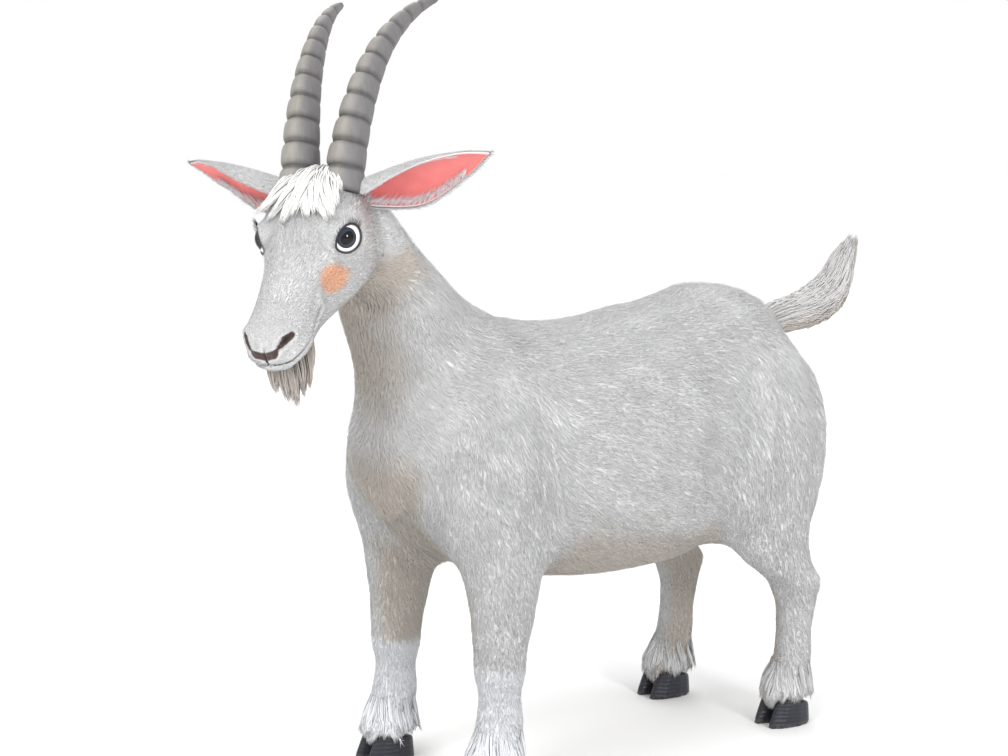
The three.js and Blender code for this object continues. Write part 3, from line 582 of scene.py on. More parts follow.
def new_piece(
    name: str, mesh: Mesh, material: Material, stands_for: tuple[str, ...] = ()
) -> bpy.types.Object:
    """Puts a finished mesh in the scene as a piece of the goat.

    Args:
        name: The piece's name.
        mesh: Its mesh, in the row frame.
        material: Its material.
        stands_for: CAD nodes that it replaces.

    Returns:
        The piece.
    """
    mesh.name = name
    piece = bpy.data.objects.new(name, mesh)
    bpy.context.scene.collection.objects.link(piece)
    mesh.materials.clear()
    mesh.materials.append(material)
    mesh.polygons.foreach_set("use_smooth", np.ones(len(mesh.polygons), bool))
    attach(piece, "root")
    if stands_for:
        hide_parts(*stands_for)
    LOG.info("%s: %d faces", name, len(mesh.polygons))
    return piece


def rows_of(items: bpy.types.bpy_prop_collection, key: str, width: int, kind: type) -> Array:
    """Reads one property of a mesh's items as an array.

    Args:
        items: Its vertices, normals, edges or triangles.
        key: The property.
        width: Numbers an item.
        kind: Their type.

    Returns:
        One row an item.
    """
    values = np.empty(len(items) * width, kind)
    items.foreach_get(key, values)
    return values.reshape(-1, width)


def points_of(mesh: Mesh) -> Array:
    """A mesh's vertices as an array."""
    return rows_of(mesh.vertices, "co", 3, np.float32).astype(float)


def normals_of(mesh: Mesh) -> Array:
    """A mesh's vertex normals as an array."""
    mesh.update()
    return rows_of(mesh.vertex_normals, "vector", 3, np.float32).astype(float)


def edges_of(mesh: Mesh) -> Array:
    """A mesh's edges as pairs of vertices."""
    return rows_of(mesh.edges, "vertices", 2, np.int32)


def move_points(mesh: Mesh, points: Array) -> None:
    """Puts a mesh's vertices at new places."""
    mesh.vertices.foreach_set("co", points.astype(np.float32).ravel())
    mesh.update()


def spread(values: Array, edges: Array, rounds: int, share: float = 0.5) -> Array:
    """Evens values out between neighbours on a mesh.

    Args:
        values: One row a vertex.
        edges: Pairs of vertices.
        rounds: How often.
        share: How far each goes to its neighbours' mean.

    Returns:
        The evened values.
    """
    count = len(values)
    ends = np.concatenate([edges, edges[:, ::-1]])
    here, there = ends[:, 0], ends[:, 1]
    weight = np.maximum(np.bincount(here, minlength=count), 1)
    out = values.astype(float).reshape(count, -1).copy()
    for _ in range(rounds):
        sums = [np.bincount(here, weights=column[there], minlength=count) for column in out.T]
        out += (np.stack([total / weight for total in sums], axis=1) - out) * share
    return out.reshape(values.shape)


def round_off(mesh: Mesh, rounds: int, keep: Array | float = 0.0) -> None:
    """Smooths a mesh without shrinking it, by passes in and out.

    Args:
        mesh: The mesh.
        rounds: Pairs of passes.
        keep: How far each vertex is left where it is, from 0 to 1.
    """
    edges, start = edges_of(mesh), points_of(mesh)
    points = start
    for _ in range(rounds):
        points = spread(points, edges, 1, 0.5)
        points = spread(points, edges, 1, -0.52)
    move_points(mesh, points + (start - points) * np.reshape(keep, (-1, 1)))


def write_values(mesh: Mesh, name: str, values: Array) -> None:
    """Stores one number, or three as a colour, on each vertex.

    Args:
        mesh: The mesh.
        name: The attribute's name.
        values: One row a vertex.
    """
    if values.ndim == 1:
        layer = mesh.attributes.new(name, "FLOAT", "POINT")
        layer.data.foreach_set("value", values.astype(np.float32))
        return
    layer = mesh.attributes.new(name, "FLOAT_COLOR", "POINT")
    rows = np.concatenate([values, np.ones((len(values), 1))], axis=1)
    layer.data.foreach_set("color", rows.astype(np.float32).ravel())


def add_modifiers(piece: bpy.types.Object, *modifiers: tuple[str, dict]) -> None:
    """Adds modifiers to an object.

    Args:
        piece: The object.
        modifiers: The type and the settings of each.
    """
    for kind, settings in modifiers:
        modifier = piece.modifiers.new(kind.lower(), kind)
        for key, value in settings.items():
            setattr(modifier, key, value)


def modified(mesh: Mesh, *modifiers: tuple[str, dict]) -> Mesh:
    """What some modifiers make of a mesh.

    Args:
        mesh: The mesh.
        modifiers: The type and the settings of each.

    Returns:
        The new mesh.
    """
    holder = bpy.data.objects.new("holder", mesh)
    bpy.context.scene.collection.objects.link(holder)
    add_modifiers(holder, *modifiers)
    graph = bpy.context.evaluated_depsgraph_get()
    made = bpy.data.meshes.new_from_object(holder.evaluated_get(graph))
    bpy.data.objects.remove(holder)
    return made


def remeshed(mesh: Mesh, voxel: float) -> Mesh:
    """Joins a mesh's closed shells, which may cross, into one skin of even quads of a size."""
    return modified(mesh, ("REMESH", {"mode": "VOXEL", "voxel_size": voxel}))


def as_mesh(bm: bmesh.types.BMesh, name: str) -> Mesh:
    """Makes a bmesh a mesh, and frees it.

    Args:
        bm: The bmesh.
        name: The mesh's name.

    Returns:
        The mesh.
    """
    mesh = bpy.data.meshes.new(name)
    bm.to_mesh(mesh)
    bm.free()
    return mesh


def finished(bm: bmesh.types.BMesh, name: str) -> Mesh:
    """Turns a bmesh's faces outwards and makes it a mesh."""
    bmesh.ops.recalc_face_normals(bm, faces=bm.faces)
    return as_mesh(bm, name)


def add_node(bm: bmesh.types.BMesh, node: bpy.types.Object, swell: float) -> None:
    """Adds a merged, swollen copy of a CAD node to a bmesh.

    Args:
        bm: The bmesh.
        node: The CAD node.
        swell: By how much it is swollen.
    """
    part = bmesh.new()
    part.from_mesh(node.data)
    bmesh.ops.remove_doubles(part, verts=part.verts, dist=1e-5)
    part.normal_update()
    for v in part.verts:
        v.co += v.normal * swell
    bm.from_mesh(as_mesh(part, "part"))


def loft(bm: bmesh.types.BMesh, rings: Array, closed: bool = True) -> list[list]:
    """Extrudes a circle from ring to ring.

    Args:
        bm: The bmesh to add to.
        rings: Points by ring and turn.
        closed: Whether the ends are filled.

    Returns:
        The vertices by ring.
    """
    made = bmesh.ops.create_circle(bm, segments=rings.shape[1], radius=1.0)
    ring = made["verts"]
    edges = list({e for v in ring for e in v.link_edges})
    rows = []
    for at, points in enumerate(rings):
        if at:
            grown = bmesh.ops.extrude_edge_only(bm, edges=edges)["geom"]
            fresh = {g for g in grown if isinstance(g, bmesh.types.BMVert)}
            ends = ([e.other_vert(v) for e in v.link_edges] for v in ring)
            ring = [next(v for v in others if v in fresh) for others in ends]
            edges = [g for g in grown if isinstance(g, bmesh.types.BMEdge)]
            edges = [e for e in edges if fresh >= set(e.verts)]
        for v, p in zip(ring, points):
            v.co = p
        rows.append(ring)
    if closed:
        bm.faces.new(list(reversed(rows[0])))
        bm.faces.new(rows[-1])
    return rows


def by_ring(bm: bmesh.types.BMesh, rows: list[list], values: Array) -> Array:
    """Values by ring and turn of a loft, put in the order of its vertices.

    Args:
        bm: The lofted bmesh.
        rows: Its vertices by ring.
        values: One row of numbers by ring and turn.

    Returns:
        One row of numbers a vertex.
    """
    bm.verts.index_update()
    order = np.array([v.index for ring in rows for v in ring])
    placed = np.empty((len(order), *values.shape[2:]))
    placed[order] = values.reshape(len(order), *values.shape[2:])
    return placed


# ---------------------------------------------------------------- strands


TUFT = np.array([[-1.0, -0.45], [1.0, -0.45], [0.0, 1.0]])  # a strand's section, across and out


@dataclass
class Strands:
    """Many tapered strands of hair as arrays: points along each, its outward side and its width."""

    path: Array
    face: Array
    wide: Array
    thick: Array
    unwrap: Array
    values: dict[str, Array]
    patch: float = 0.003  # a strand's width on the unwrap

    def mesh(self, name: str) -> Mesh:
        """Joins the strands into one mesh of closed, tapered strands.

        Args:
            name: The mesh's name.

        Returns:
            The mesh, with its values, reach and OFBake map.
        """
        count, rings, sides = len(self.path), self.path.shape[1] - 1, len(TUFT)
        each = rings * sides + 1
        loops, sizes, u, v = self._faces(rings, sides)
        mesh = bpy.data.meshes.new(name)
        mesh.vertices.add(count * each)
        mesh.vertices.foreach_set("co", self._points(rings).astype(np.float32).ravel())
        every = (loops[None] + np.arange(count)[:, None] * each).ravel()
        mesh.loops.add(len(every))
        mesh.loops.foreach_set("vertex_index", every.astype(np.int32))
        total = np.tile(sizes, count)
        mesh.polygons.add(len(total))
        starts = np.concatenate([[0], np.cumsum(total)[:-1]]).astype(np.int32)
        mesh.polygons.foreach_set("loop_start", starts)
        mesh.update(calc_edges=True)
        across = self.unwrap[:, :1] + (u[None] - 0.5) * self.patch
        along = self.unwrap[:, 1:2] + (v[None] - 0.5) * self.patch
        layer = mesh.uv_layers.new(name="OFBake")
        layer.data.foreach_set("uv", np.stack([across, along], -1).astype(np.float32).ravel())
        rise = np.concatenate([np.repeat(np.arange(rings), sides), [rings]]) / rings
        write_values(mesh, "reach", np.tile(rise, count))
        for key, value in self.values.items():
            write_values(mesh, key, np.repeat(value, each, axis=0))
        return mesh

    def _points(self, rings: int) -> Array:
        """Every strand's points: its rings' corners, and its tip.

        Args:
            rings: Rings along it, without the tip.

        Returns:
            The points by strand.
        """
        run = unit(np.gradient(self.path, axis=1))
        out = flat_on(np.broadcast_to(self.face[:, None], self.path.shape), run)
        across = np.cross(out, run)
        a = TUFT[:, 0][None, None, :, None] * self.wide[:, :rings, None, None]
        b = TUFT[:, 1][None, None, :, None] * self.thick[:, :rings, None, None]
        ring = self.path[:, :rings, None] + across[:, :rings, None] * a + out[:, :rings, None] * b
        return np.concatenate([ring.reshape(len(ring), -1, 3), self.path[:, -1:]], axis=1)

    @staticmethod
    def _faces(rings: int, sides: int) -> tuple[Array, Array, Array, Array]:
        """The faces of one strand: quads between rings, triangles at the tip and a closed root.

        Args:
            rings: Rings along it, without the tip.
            sides: Corners of a ring.

        Returns:
            The faces' corners, their numbers of corners, and where each corner lies on the
            unwrap: round the strand and along it, from 0 to 1.
        """
        i = np.arange(sides)
        j = (i + 1) % sides
        first = np.arange(rings - 1)[:, None] * sides
        last = (rings - 1) * sides
        quads = np.stack([first + i, first + j, first + sides + j, first + sides + i], -1)
        tips = np.stack([last + i, last + j, np.full(sides, last + sides)], 1)
        loops = np.concatenate([quads.ravel(), tips.ravel(), i[::-1]])
        sizes = np.concatenate([np.full(sides * (rings - 1), 4), np.full(sides, 3), [sides]])
        round_quads = np.tile(np.stack([i, i + 1, i + 1, i], 1).ravel(), rings - 1)
        round_tips = np.stack([i, i + 1, i + 0.5], 1).ravel()
        u = np.concatenate([round_quads, round_tips, i[::-1]]) / sides
        up_quads = [np.tile([k, k, k + 1, k + 1], sides) for k in range(rings - 1)]
        up_tips = np.tile([rings - 1, rings - 1, rings], sides)
        v = np.concatenate([*up_quads, up_tips, np.zeros(sides)]) / rings
        return loops, sizes, u, v


# ---------------------------------------------------------------- the head's frame and face


def on_side(point: Triple, side: int) -> Array:
    """A place or a way given with a positive Y, on one of the sides."""
    return np.array([point[0], side * point[1], point[2]])


def folded(points: Array) -> Array:
    """Points with their Y made positive."""
    return np.stack([points[:, 0], np.abs(points[:, 1]), points[:, 2]], 1)


def hump(value: Array, centre: float, width: float) -> Array:
    """A soft rise to 1 round a centre."""
    return np.exp(-(((value - centre) / width) ** 2))


@dataclass(frozen=True)
class Face:
    """Where the features of the face lie, in the head's frame, with Y positive on both sides."""

    opening: tuple[float, float] = (32.0, 25.0)
    above: float = 0.52  # share of the opening's height that lies over the eye's middle
    below: float = 0.44
    slant: float = 0.06
    spot: Triple = (-85.0, 32.5, 1.0)
    spot_axes: tuple[Triple, ...] = ((0.79, 0, -0.61), (0, 1, 0), (0.61, 0, 0.79))
    spot_squeeze: Triple = (0.62, 0.74, 0.86)
    spot_radius: float = 11.5
    slit: tuple[Triple, ...] = (
        (-172, 9.5, -3.5),
        (-171.5, 12.5, 1.0),
        (-167, 17.0, 4.2),
        (-160, 20.5, 4.2),
    )

    def mouth_line(self, x: Array) -> Array:
        """Height of the line between the lips."""
        return through([-186, -166, -148, -128, -112, -102], [-14, -16, -15, -10.5, -5, 2], x)

    def almond(self, a: Array, b: Array) -> Array:
        """How far out of the lids' opening a place is.

        Args:
            a: Millimetres forwards from its middle.
            b: Millimetres upwards.

        Returns:
            Below 1 inside, 1 on the lids' edge.
        """
        long, tall = self.opening
        b = b + self.slant * np.maximum(a, 0)
        reach = np.where(b > 0, self.above, self.below) * tall
        return np.sqrt(np.abs(a / (long / 2)) ** 2.22 + np.abs(b / reach) ** 1.6)

    def outline(self, turn: Array) -> tuple[Array, Array]:
        """The opening's outline.

        Args:
            turn: Angles round it.

        Returns:
            Millimetres forwards and up from its middle.
        """
        long, tall = self.opening
        c, s = np.cos(turn), np.sin(turn)
        a = long / 2 * np.sign(c) * np.abs(c) ** 0.9
        reach = np.where(s > 0, tall * self.above, tall * self.below)
        b = reach * np.sign(s) * np.abs(s) ** 1.25
        return a, b - self.slant * a * (a > 0)

    def nostril(self, p: Array) -> Array:
        """Distance to a nostril's curved slit.

        Args:
            p: Folded points.

        Returns:
            The distance in millimetres.
        """
        line = np.array(self.slit)
        near = np.full(len(p), np.inf)
        for a, b in zip(line, line[1:]):
            d = b - a
            t = np.clip((p - a) @ d / (d @ d), 0, 1)
            near = np.minimum(near, np.linalg.norm(p - a - t[:, None] * d, axis=1))
        return near

    def cheek(self, p: Array) -> Array:
        """Share of the cheek's patch: a level oval, round as seen from the goat's front quarter.

        Args:
            p: Folded points.

        Returns:
            A number from 0 to 1 for each.
        """
        axes = np.array(self.spot_axes).T * self.spot_squeeze
        away = np.linalg.norm((p - np.array(self.spot)) @ axes, axis=1)
        return smooth(away, self.spot_radius + 2.5, self.spot_radius - 2.5) * (p[:, 0] < 0)

    def bare(self, p: Array) -> tuple[Array, Array]:
        """Where the muzzle is bare.

        Args:
            p: Folded points.

        Returns:
            Shares of dark bare skin, and of the dark line of mouth and nostrils.
        """
        x, y, z = p.T
        near = self.nostril(p)
        bridge = np.hypot(np.maximum(y - 9.0, 0.0), (z + 3.0 - 0.25 * y) * 0.85)
        stem = np.hypot(y * 1.7, np.maximum(-9.0 - z, 0.0) * 0.4) + 2.2
        ahead = smooth(x, -161, -167)
        front = np.minimum(bridge, stem + (1 - ahead) * 9)
        front = np.maximum(front, 5.9 + z - 0.35 * y)
        away = np.minimum(near, np.where(ahead > 0, front, 99.0))
        bare = smooth(away, 5.9, 3.9) * smooth(z, -22, -18)
        mouth = smooth(np.abs(z - self.mouth_line(x)), 2.1, 0.9) * smooth(x, -101, -106)
        return bare, np.maximum(mouth, smooth(near, 2.6, 1.2))

    def push(self, p: Array) -> Array:
        """How far lips, nostrils and folds push the muzzle's skin out.

        Args:
            p: Folded points.

        Returns:
            Millimetres along the normal.
        """
        x, y, z = p.T
        ahead = smooth(x, -96, -112)
        d = z - self.mouth_line(x)
        push = -2.6 * hump(d, 0.0, 1.5) * ahead
        push += 1.3 * hump(d, 5.0, 4.0) * ahead
        push += 1.0 * hump(d, -5.0, 4.0) * ahead
        push -= 1.6 * hump(y, 0.0, 1.2) * smooth(z, -20, -17) * smooth(z, 4, 0) * (x < -165)
        near = self.nostril(p)
        push -= 7.0 * hump(near, 0.0, 2.3)
        push += 1.5 * hump(near, 5.2, 2.2)
        push += 1.4 * (hump(x, -112.0, 5.0) * hump(d, 0.0, 7.0))
        return push


@dataclass
class HeadFrame:
    """Where the head is and how it is turned."""

    yaw: float = math.radians(34)
    pitch: float = math.radians(-37)
    roll: float = math.radians(-3)
    centre: Triple = (-321.0, -8.0, 562.0)
    eye: Triple = (-48.0, 33.5, 20.0)
    look: Triple = (-0.42, 0.88, 0.16)
    inwards: Triple = (-1.0, 0.0, 0.12)  # towards an eye's inner corner
    ball: float = 17.5
    face: Face = Face()

    def __post_init__(self) -> None:
        """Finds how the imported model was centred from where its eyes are."""
        self.turn = np.array(Euler((self.roll, self.pitch, self.yaw), "XYZ").to_matrix(), float)
        self.origin = np.array(self.centre) * MM
        offsets = []
        for side, word in SIDES:
            low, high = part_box(f"eye_{word}")
            there = (np.array(low) + np.array(high)) / 2
            offsets.append(there - self.world(self.eye_at(side)))
        self.shift = np.mean(offsets, axis=0)
        self.shift[2] = 0.0
        self.origin = self.origin + self.shift

    def world(self, points: Array) -> Array:
        """Places in the row frame, in metres, of points in the head's frame."""
        flat = np.asarray(points, float).reshape(-1, 3)
        return (flat @ self.turn.T * MM + self.origin).reshape(np.shape(points))

    def local(self, points: Array) -> Array:
        """Places in the head's frame, in millimetres, of points in the row frame."""
        return (points - self.origin) @ self.turn / MM

    def aim(self, vectors: Array) -> Array:
        """Directions in the row frame of directions in the head's frame."""
        return vectors @ self.turn.T

    def eye_at(self, side: int) -> Array:
        """An eyeball's centre in the head's frame."""
        return on_side(self.eye, side)

    def eye_look(self, side: int) -> Array:
        """The way that an eye's socket faces, in the head's frame."""
        return unit(on_side(self.look, side))

    def eye_axes(self, side: int) -> tuple[Array, Array, Array]:
        """An eye's own axes in the head's frame.

        Args:
            side: LEFT or RIGHT.

        Returns:
            Towards the inner corner, up, and outwards.
        """
        look = self.eye_look(side)
        forward = flat_on(np.array(self.inwards), look)
        up = np.cross(look, forward)
        return forward, up * np.sign(up[2]), look

    def round_eye(self, local: Array, side: int) -> tuple[Array, Array, Array, Array]:
        """Where points lie round an eye.

        Args:
            local: Points in the head's frame.
            side: LEFT or RIGHT.

        Returns:
            Distances and ways from the eye's centre, how far ahead of it (1 is straight ahead),
            and how far out of the lids' opening.
        """
        forward, up, look = self.eye_axes(side)
        off = local - self.eye_at(side)
        way = unit(off)
        a, b, ahead = way @ forward, way @ up, way @ look
        arc = self.ball * np.arccos(np.clip(ahead, -1, 1)) / np.maximum(np.hypot(a, b), 1e-6)
        return np.linalg.norm(off, axis=1), way, ahead, self.face.almond(a * arc, b * arc)


# ---------------------------------------------------------------- skin


@dataclass
class Survey:
    """A skin's points with their normals, places in the head's frame and regions; its edges."""

    points: Array
    normals: Array
    local: Array
    region: Array
    edges: Array

    @property
    def on_head(self) -> Array:
        """Which points lie on the head."""
        return among(self.region, Region.HEAD)


@dataclass
class Ground:
    """What the coat grows on: the skin's points, faces and how hair lies there."""

    points: Array
    normals: Array
    corners: Array
    region: Array
    lie: Array
    length: Array
    wide: Array
    marks: Array
    face_marks: Array


@dataclass
class Skin:
    """One closed skin for torso, neck, head, legs and the root of the tail."""

    nodes: dict[str, bpy.types.Object]
    head: HeadFrame
    tail: "Tail"
    voxel: float = 0.0045
    swell: float = 0.0005
    dock: float = 0.03  # half the width of the rump that counts as tail
    muzzle_fur: Triple = (0.35, 3.2, 0.42)  # depth, length and half width
    lid_fur: Triple = (0.5, 2.6, 0.34)
    low_leg_fur: tuple[float, float] = (10.0, 0.65)  # length and half width
    # the way that the taupe underside faces: a hair tint that is also painted shade
    underside_tint_and_shade: Triple = (-0.5, 0.0, -0.86)

    def build(self, material: Material) -> Ground:
        """Makes the skin.

        Args:
            material: The coat's material.

        Returns:
            The ground for the coat.
        """
        mesh = self._joined()
        round_off(mesh, 10)
        self._ease(mesh, self._regions(mesh))
        for zone in (self._head_zone, self._face_zone, self._rim_zone):
            mesh = self._finer(mesh, zone(self.head.local(points_of(mesh))))
            round_off(mesh, 2)
        region = self._regions(mesh)
        rough = self._survey(mesh, region)
        depth, length, wide = self._fur(rough).T
        move_points(mesh, rough.points - rough.normals * depth[:, None])
        self._sculpt(mesh, self._survey(mesh, region))
        done = self._survey(mesh, region)
        lie = self._lie(done)
        marks, face_marks = self._marks(done)
        write_values(mesh, "marks", marks)
        write_values(mesh, "face_marks", face_marks)
        write_values(mesh, "tone", np.full(len(region), 0.5))
        # the skin under the fur reads as near the roots, with their painted shade
        write_values(mesh, "reach", np.full(len(region), 0.15))
        new_piece("skin", mesh, material, (*FLESH, "tail"))
        mesh.calc_loop_triangles()
        corners = rows_of(mesh.loop_triangles, "vertices", 3, np.int32)
        return Ground(
            done.points, done.normals, corners, region, lie, length, wide, marks, face_marks
        )

    def _survey(self, mesh: Mesh, region: Array) -> Survey:
        """Reads where a skin's points are."""
        points = points_of(mesh)
        return Survey(points, normals_of(mesh), self.head.local(points), region, edges_of(mesh))

    def _joined(self) -> Mesh:
        """Joins the flesh nodes, the eyeballs that lids cover and the dock of the tail.

        Returns:
            One skin.
        """
        bm = bmesh.new()
        for name in (*FLESH, "eye_left", "eye_right"):
            add_node(bm, self.nodes[name], self.swell)
        part = bmesh.new()
        loft(part, self.tail.dock())
        bm.from_mesh(finished(part, "dock"))
        return remeshed(as_mesh(bm, "shells"), self.voxel)

    def _ease(self, mesh: Mesh, region: Array) -> None:
        """Melts the steps where neck, legs and trunk meet.

        Args:
            mesh: The skin.
            region: Its points' regions.
        """
        edges = edges_of(mesh)
        ends = region[edges]
        seam = np.zeros(len(region))
        strength = {Region.NECK: 1.0, Region.UPPER_LEG: 1.0, Region.HEAD: 0.45}
        for one, share in strength.items():
            crossing = (ends[:, 0] != ends[:, 1]) & (ends == one.value).any(1)
            crossing &= (ends != Region.SHANK.value).all(1)
            at = edges[crossing].ravel()
            seam[at] = np.maximum(seam[at], share)
        near = np.clip(spread(seam, edges, 90) * 8.0, 0, 1)
        points = points_of(mesh)
        soft = spread(points, edges, 150)
        move_points(mesh, points + (soft - points) * near[:, None])

    def _regions(self, mesh: Mesh) -> Array:
        """Which region each vertex belongs to, from the CAD node that is nearest.

        Args:
            mesh: The skin.

        Returns:
            The regions' numbers.
        """
        corners, faces, owner = [], [], []
        for name, region in FLESH.items():
            data = self.nodes[name].data
            data.calc_loop_triangles()
            start = len(corners)
            corners.extend(v.co.copy() for v in data.vertices)
            for t in data.loop_triangles:
                faces.append(tuple(start + i for i in t.vertices))
                owner.append(region.value)
        tree = BVHTree.FromPolygons(corners, faces)
        points = points_of(mesh)
        found = np.array([owner[tree.find_nearest(Vector(p))[2]] for p in points])
        behind = (points[:, 0] > self.tail.root_x()) & (np.abs(points[:, 1]) < self.dock)
        found[behind & among(found, Region.TORSO)] = Region.TAIL.value
        return found

    def _head_zone(self, local: Array) -> Array:
        """Which points lie on the head."""
        return (local[:, 0] < 30) & (local[:, 2] > -62) & (local[:, 0] > -240)

    def _face_zone(self, local: Array) -> Array:
        """Which points lie round the eyes or on the muzzle."""
        near = [np.linalg.norm(local - self.head.eye_at(side), axis=1) for side in (LEFT, RIGHT)]
        return self._head_zone(local) & ((np.minimum(*near) < 29) | (local[:, 0] < -104))

    def _rim_zone(self, local: Array) -> Array:
        """Which points lie along the lids' edges or on the nose.

        Args:
            local: Points in the head's frame.

        Returns:
            True for those that do.
        """
        rim = (local[:, 0] < -156) & (np.abs(local[:, 2] + 4) < 14)
        for side in (LEFT, RIGHT):
            distance, _, _, opening = self.head.round_eye(local, side)
            rim |= (distance < 26) & (opening > 0.85) & (opening < 1.4)
        return rim

    def _finer(self, mesh: Mesh, inside: Array) -> Mesh:
        """Halves the faces of a zone.

        Args:
            mesh: The skin.
            inside: Which of its points lie in the zone.

        Returns:
            The finer mesh.
        """
        bm = bmesh.new()
        bm.from_mesh(mesh)
        bm.verts.ensure_lookup_table()
        edges = [e for e in bm.edges if inside[e.verts[0].index] and inside[e.verts[1].index]]
        bmesh.ops.subdivide_edges(bm, edges=edges, cuts=1, use_grid_fill=True)
        bmesh.ops.triangulate(bm, faces=[f for f in bm.faces if len(f.verts) > 4])
        return as_mesh(bm, "skin")

    def _fur(self, s: Survey) -> Array:
        """The coat's depth, and the length and half width of its tufts.

        Args:
            s: The skin.

        Returns:
            Three numbers a point, in metres.
        """
        table = np.array([(pelt.depth, pelt.length, pelt.wide) for pelt in PELTS.values()])
        table = spread(table[s.region], s.edges, 24)
        muzzle = smooth(s.local[:, 0], -70, -165) * s.on_head
        table += (self.muzzle_fur - table) * muzzle[:, None]
        for side in (LEFT, RIGHT):
            near = np.linalg.norm(s.local - self.head.eye_at(side), axis=1)
            table += (self.lid_fur - table) * smooth(near, 34, 22)[:, None]
        low = smooth(s.points[:, 2], 0.33, 0.2) * among(s.region, Region.UPPER_LEG)
        table[:, 1:] += (self.low_leg_fur - table[:, 1:]) * low[:, None]
        return table * MM

    def _sculpt(self, mesh: Mesh, s: Survey) -> None:
        """Presses sockets, nostrils, mouth, lips and folds into the face.

        Args:
            mesh: The skin.
            s: Where its points are.
        """
        push = self.head.face.push(folded(s.local)) * s.on_head
        local = s.local + s.normals @ self.head.turn * push[:, None]
        for side in (LEFT, RIGHT):
            local = self._socket(local, side)
        move = (self.head.world(local) - s.points) * s.on_head[:, None]
        move_points(mesh, s.points + move)

    def _socket(self, local: Array, side: int) -> Array:
        """Draws the skin round an eye onto the lids' ball, and sinks it inside their opening.

        Args:
            local: Points in the head's frame.
            side: LEFT or RIGHT.

        Returns:
            Their new places.
        """
        distance, way, ahead, opening = self.head.round_eye(local, side)
        target = self.head.ball + 1.5 + 2.3 * smooth(opening, 1.12, 2.2)
        target -= 4.5 * smooth(opening, 1.09, 1.0)
        share = smooth(distance, 29, 21) * smooth(ahead, -0.25, 0.1)
        return self.head.eye_at(side) + way * (distance + (target - distance) * share)[:, None]

    def _lie(self, s: Survey) -> Array:
        """The way that hair lies at each point.

        Args:
            s: The skin.

        Returns:
            Directions on the surface.
        """
        ways = np.array([pelt.lie for pelt in PELTS.values()])[s.region]
        x, y, z = s.local.T
        down = smooth(z, 18, -30) * 0.55
        back = np.stack([np.ones_like(x), np.sign(y) * 0.22, -down], 1)
        for side in (LEFT, RIGHT):
            look = self.head.eye_look(side)
            off = s.local - self.head.eye_at(side)
            close = smooth(np.linalg.norm(off, axis=1), 30, 18)
            off -= look * (off @ look)[:, None]
            back += unit(off) * (1.8 * close)[:, None]
        ways[s.on_head] = self.head.aim(back)[s.on_head]
        lie = flat_on(ways, s.normals)
        for _ in range(8):
            lie = flat_on(spread(lie, s.edges, 6), s.normals)
        return lie

    def _marks(self, s: Survey) -> tuple[Array, Array]:
        """The coat's markings with the underside's painted shade, and the bare skin of the face.

        Args:
            s: The skin.

        Returns:
            Underside tint and painted shade, stocking and cheek patch; bare skin, mouth and nothing.
        """
        x, y, z = s.points.T
        broad = spread(s.normals, s.edges, 30)
        leg = among(s.region, Region.UPPER_LEG, Region.SHANK)
        # Painted shade and taupe tint: under trunk and neck, on the legs' inner sides, under the
        # jaw.
        low = broad @ unit(np.array(self.underside_tint_and_shade))
        under = smooth(low, 0.30, 0.62) * among(s.region, Region.TORSO, Region.NECK)
        under += smooth(-broad[:, 1] * np.sign(y), 0.05, 0.5) * leg
        jaw = smooth(s.local[:, 2], -34, -46) * smooth(s.local[:, 0], -112, -80)
        under = spread(np.clip(under + jaw * s.on_head, 0, 1), s.edges, 10)
        hem = z + 0.003 * ripple(s.points, 0.03, 2.0)
        sock = smooth(hem, 0.133, 0.127) * (leg & (x < 0.0))
        side = folded(s.local)
        patch = self.head.face.cheek(side) * s.on_head
        bare, mouth = self.head.face.bare(side)
        for eye in (LEFT, RIGHT):
            distance, _, _, opening = self.head.round_eye(s.local, eye)
            bare = np.maximum(bare, smooth(opening, 1.08, 1.02) * (distance < 24))
        face_marks = np.stack([bare, mouth, np.zeros_like(x)], 1) * s.on_head[:, None]
        return np.stack([under, sock, patch], 1), face_marks


# ---------------------------------------------------------------- the short coat


def blend(values: Array, corners: Array, shares: Array) -> Array:
    """Reads values of a mesh's points inside triangles, from each corner's share."""
    weights = shares.reshape(*shares.shape, *[1] * (values.ndim - 1))
    return (values[corners] * weights).sum(1)


def tuft_paths(root: Array, lie: Array, normal: Array, sizes: tuple[Array, Array, Array]) -> Array:
    """Short tufts' paths, from just inside the surface to their tips.

    Args:
        root: Where they stand.
        lie: The way that they lie.
        normal: The surface's normals.
        sizes: Their length, their half width, and how steeply they rise.

    Returns:
        Two points for each.
    """
    length, half, lift = sizes
    tip = root + lie * length[:, None] + normal * (lift * length)[:, None]
    return np.stack([root - normal * (0.3 * half)[:, None], tip], 1)


def tufts(path: Array, normal: Array, half: Array, unwrap: Array, values: dict) -> Strands:
    """Short flat tufts that taper from a half width at the root to a point."""
    wide = np.stack([half, np.zeros_like(half)], 1)
    return Strands(path, normal, wide, wide * 0.26, unwrap, values)


@dataclass(frozen=True)
class Plot:
    """A stretch of skin whose tufts make one piece, on one side or at one end of the goat."""

    name: str
    regions: tuple[Region, ...]
    side: int = 0
    end: int = 0  # -1 for the front, 1 for the back


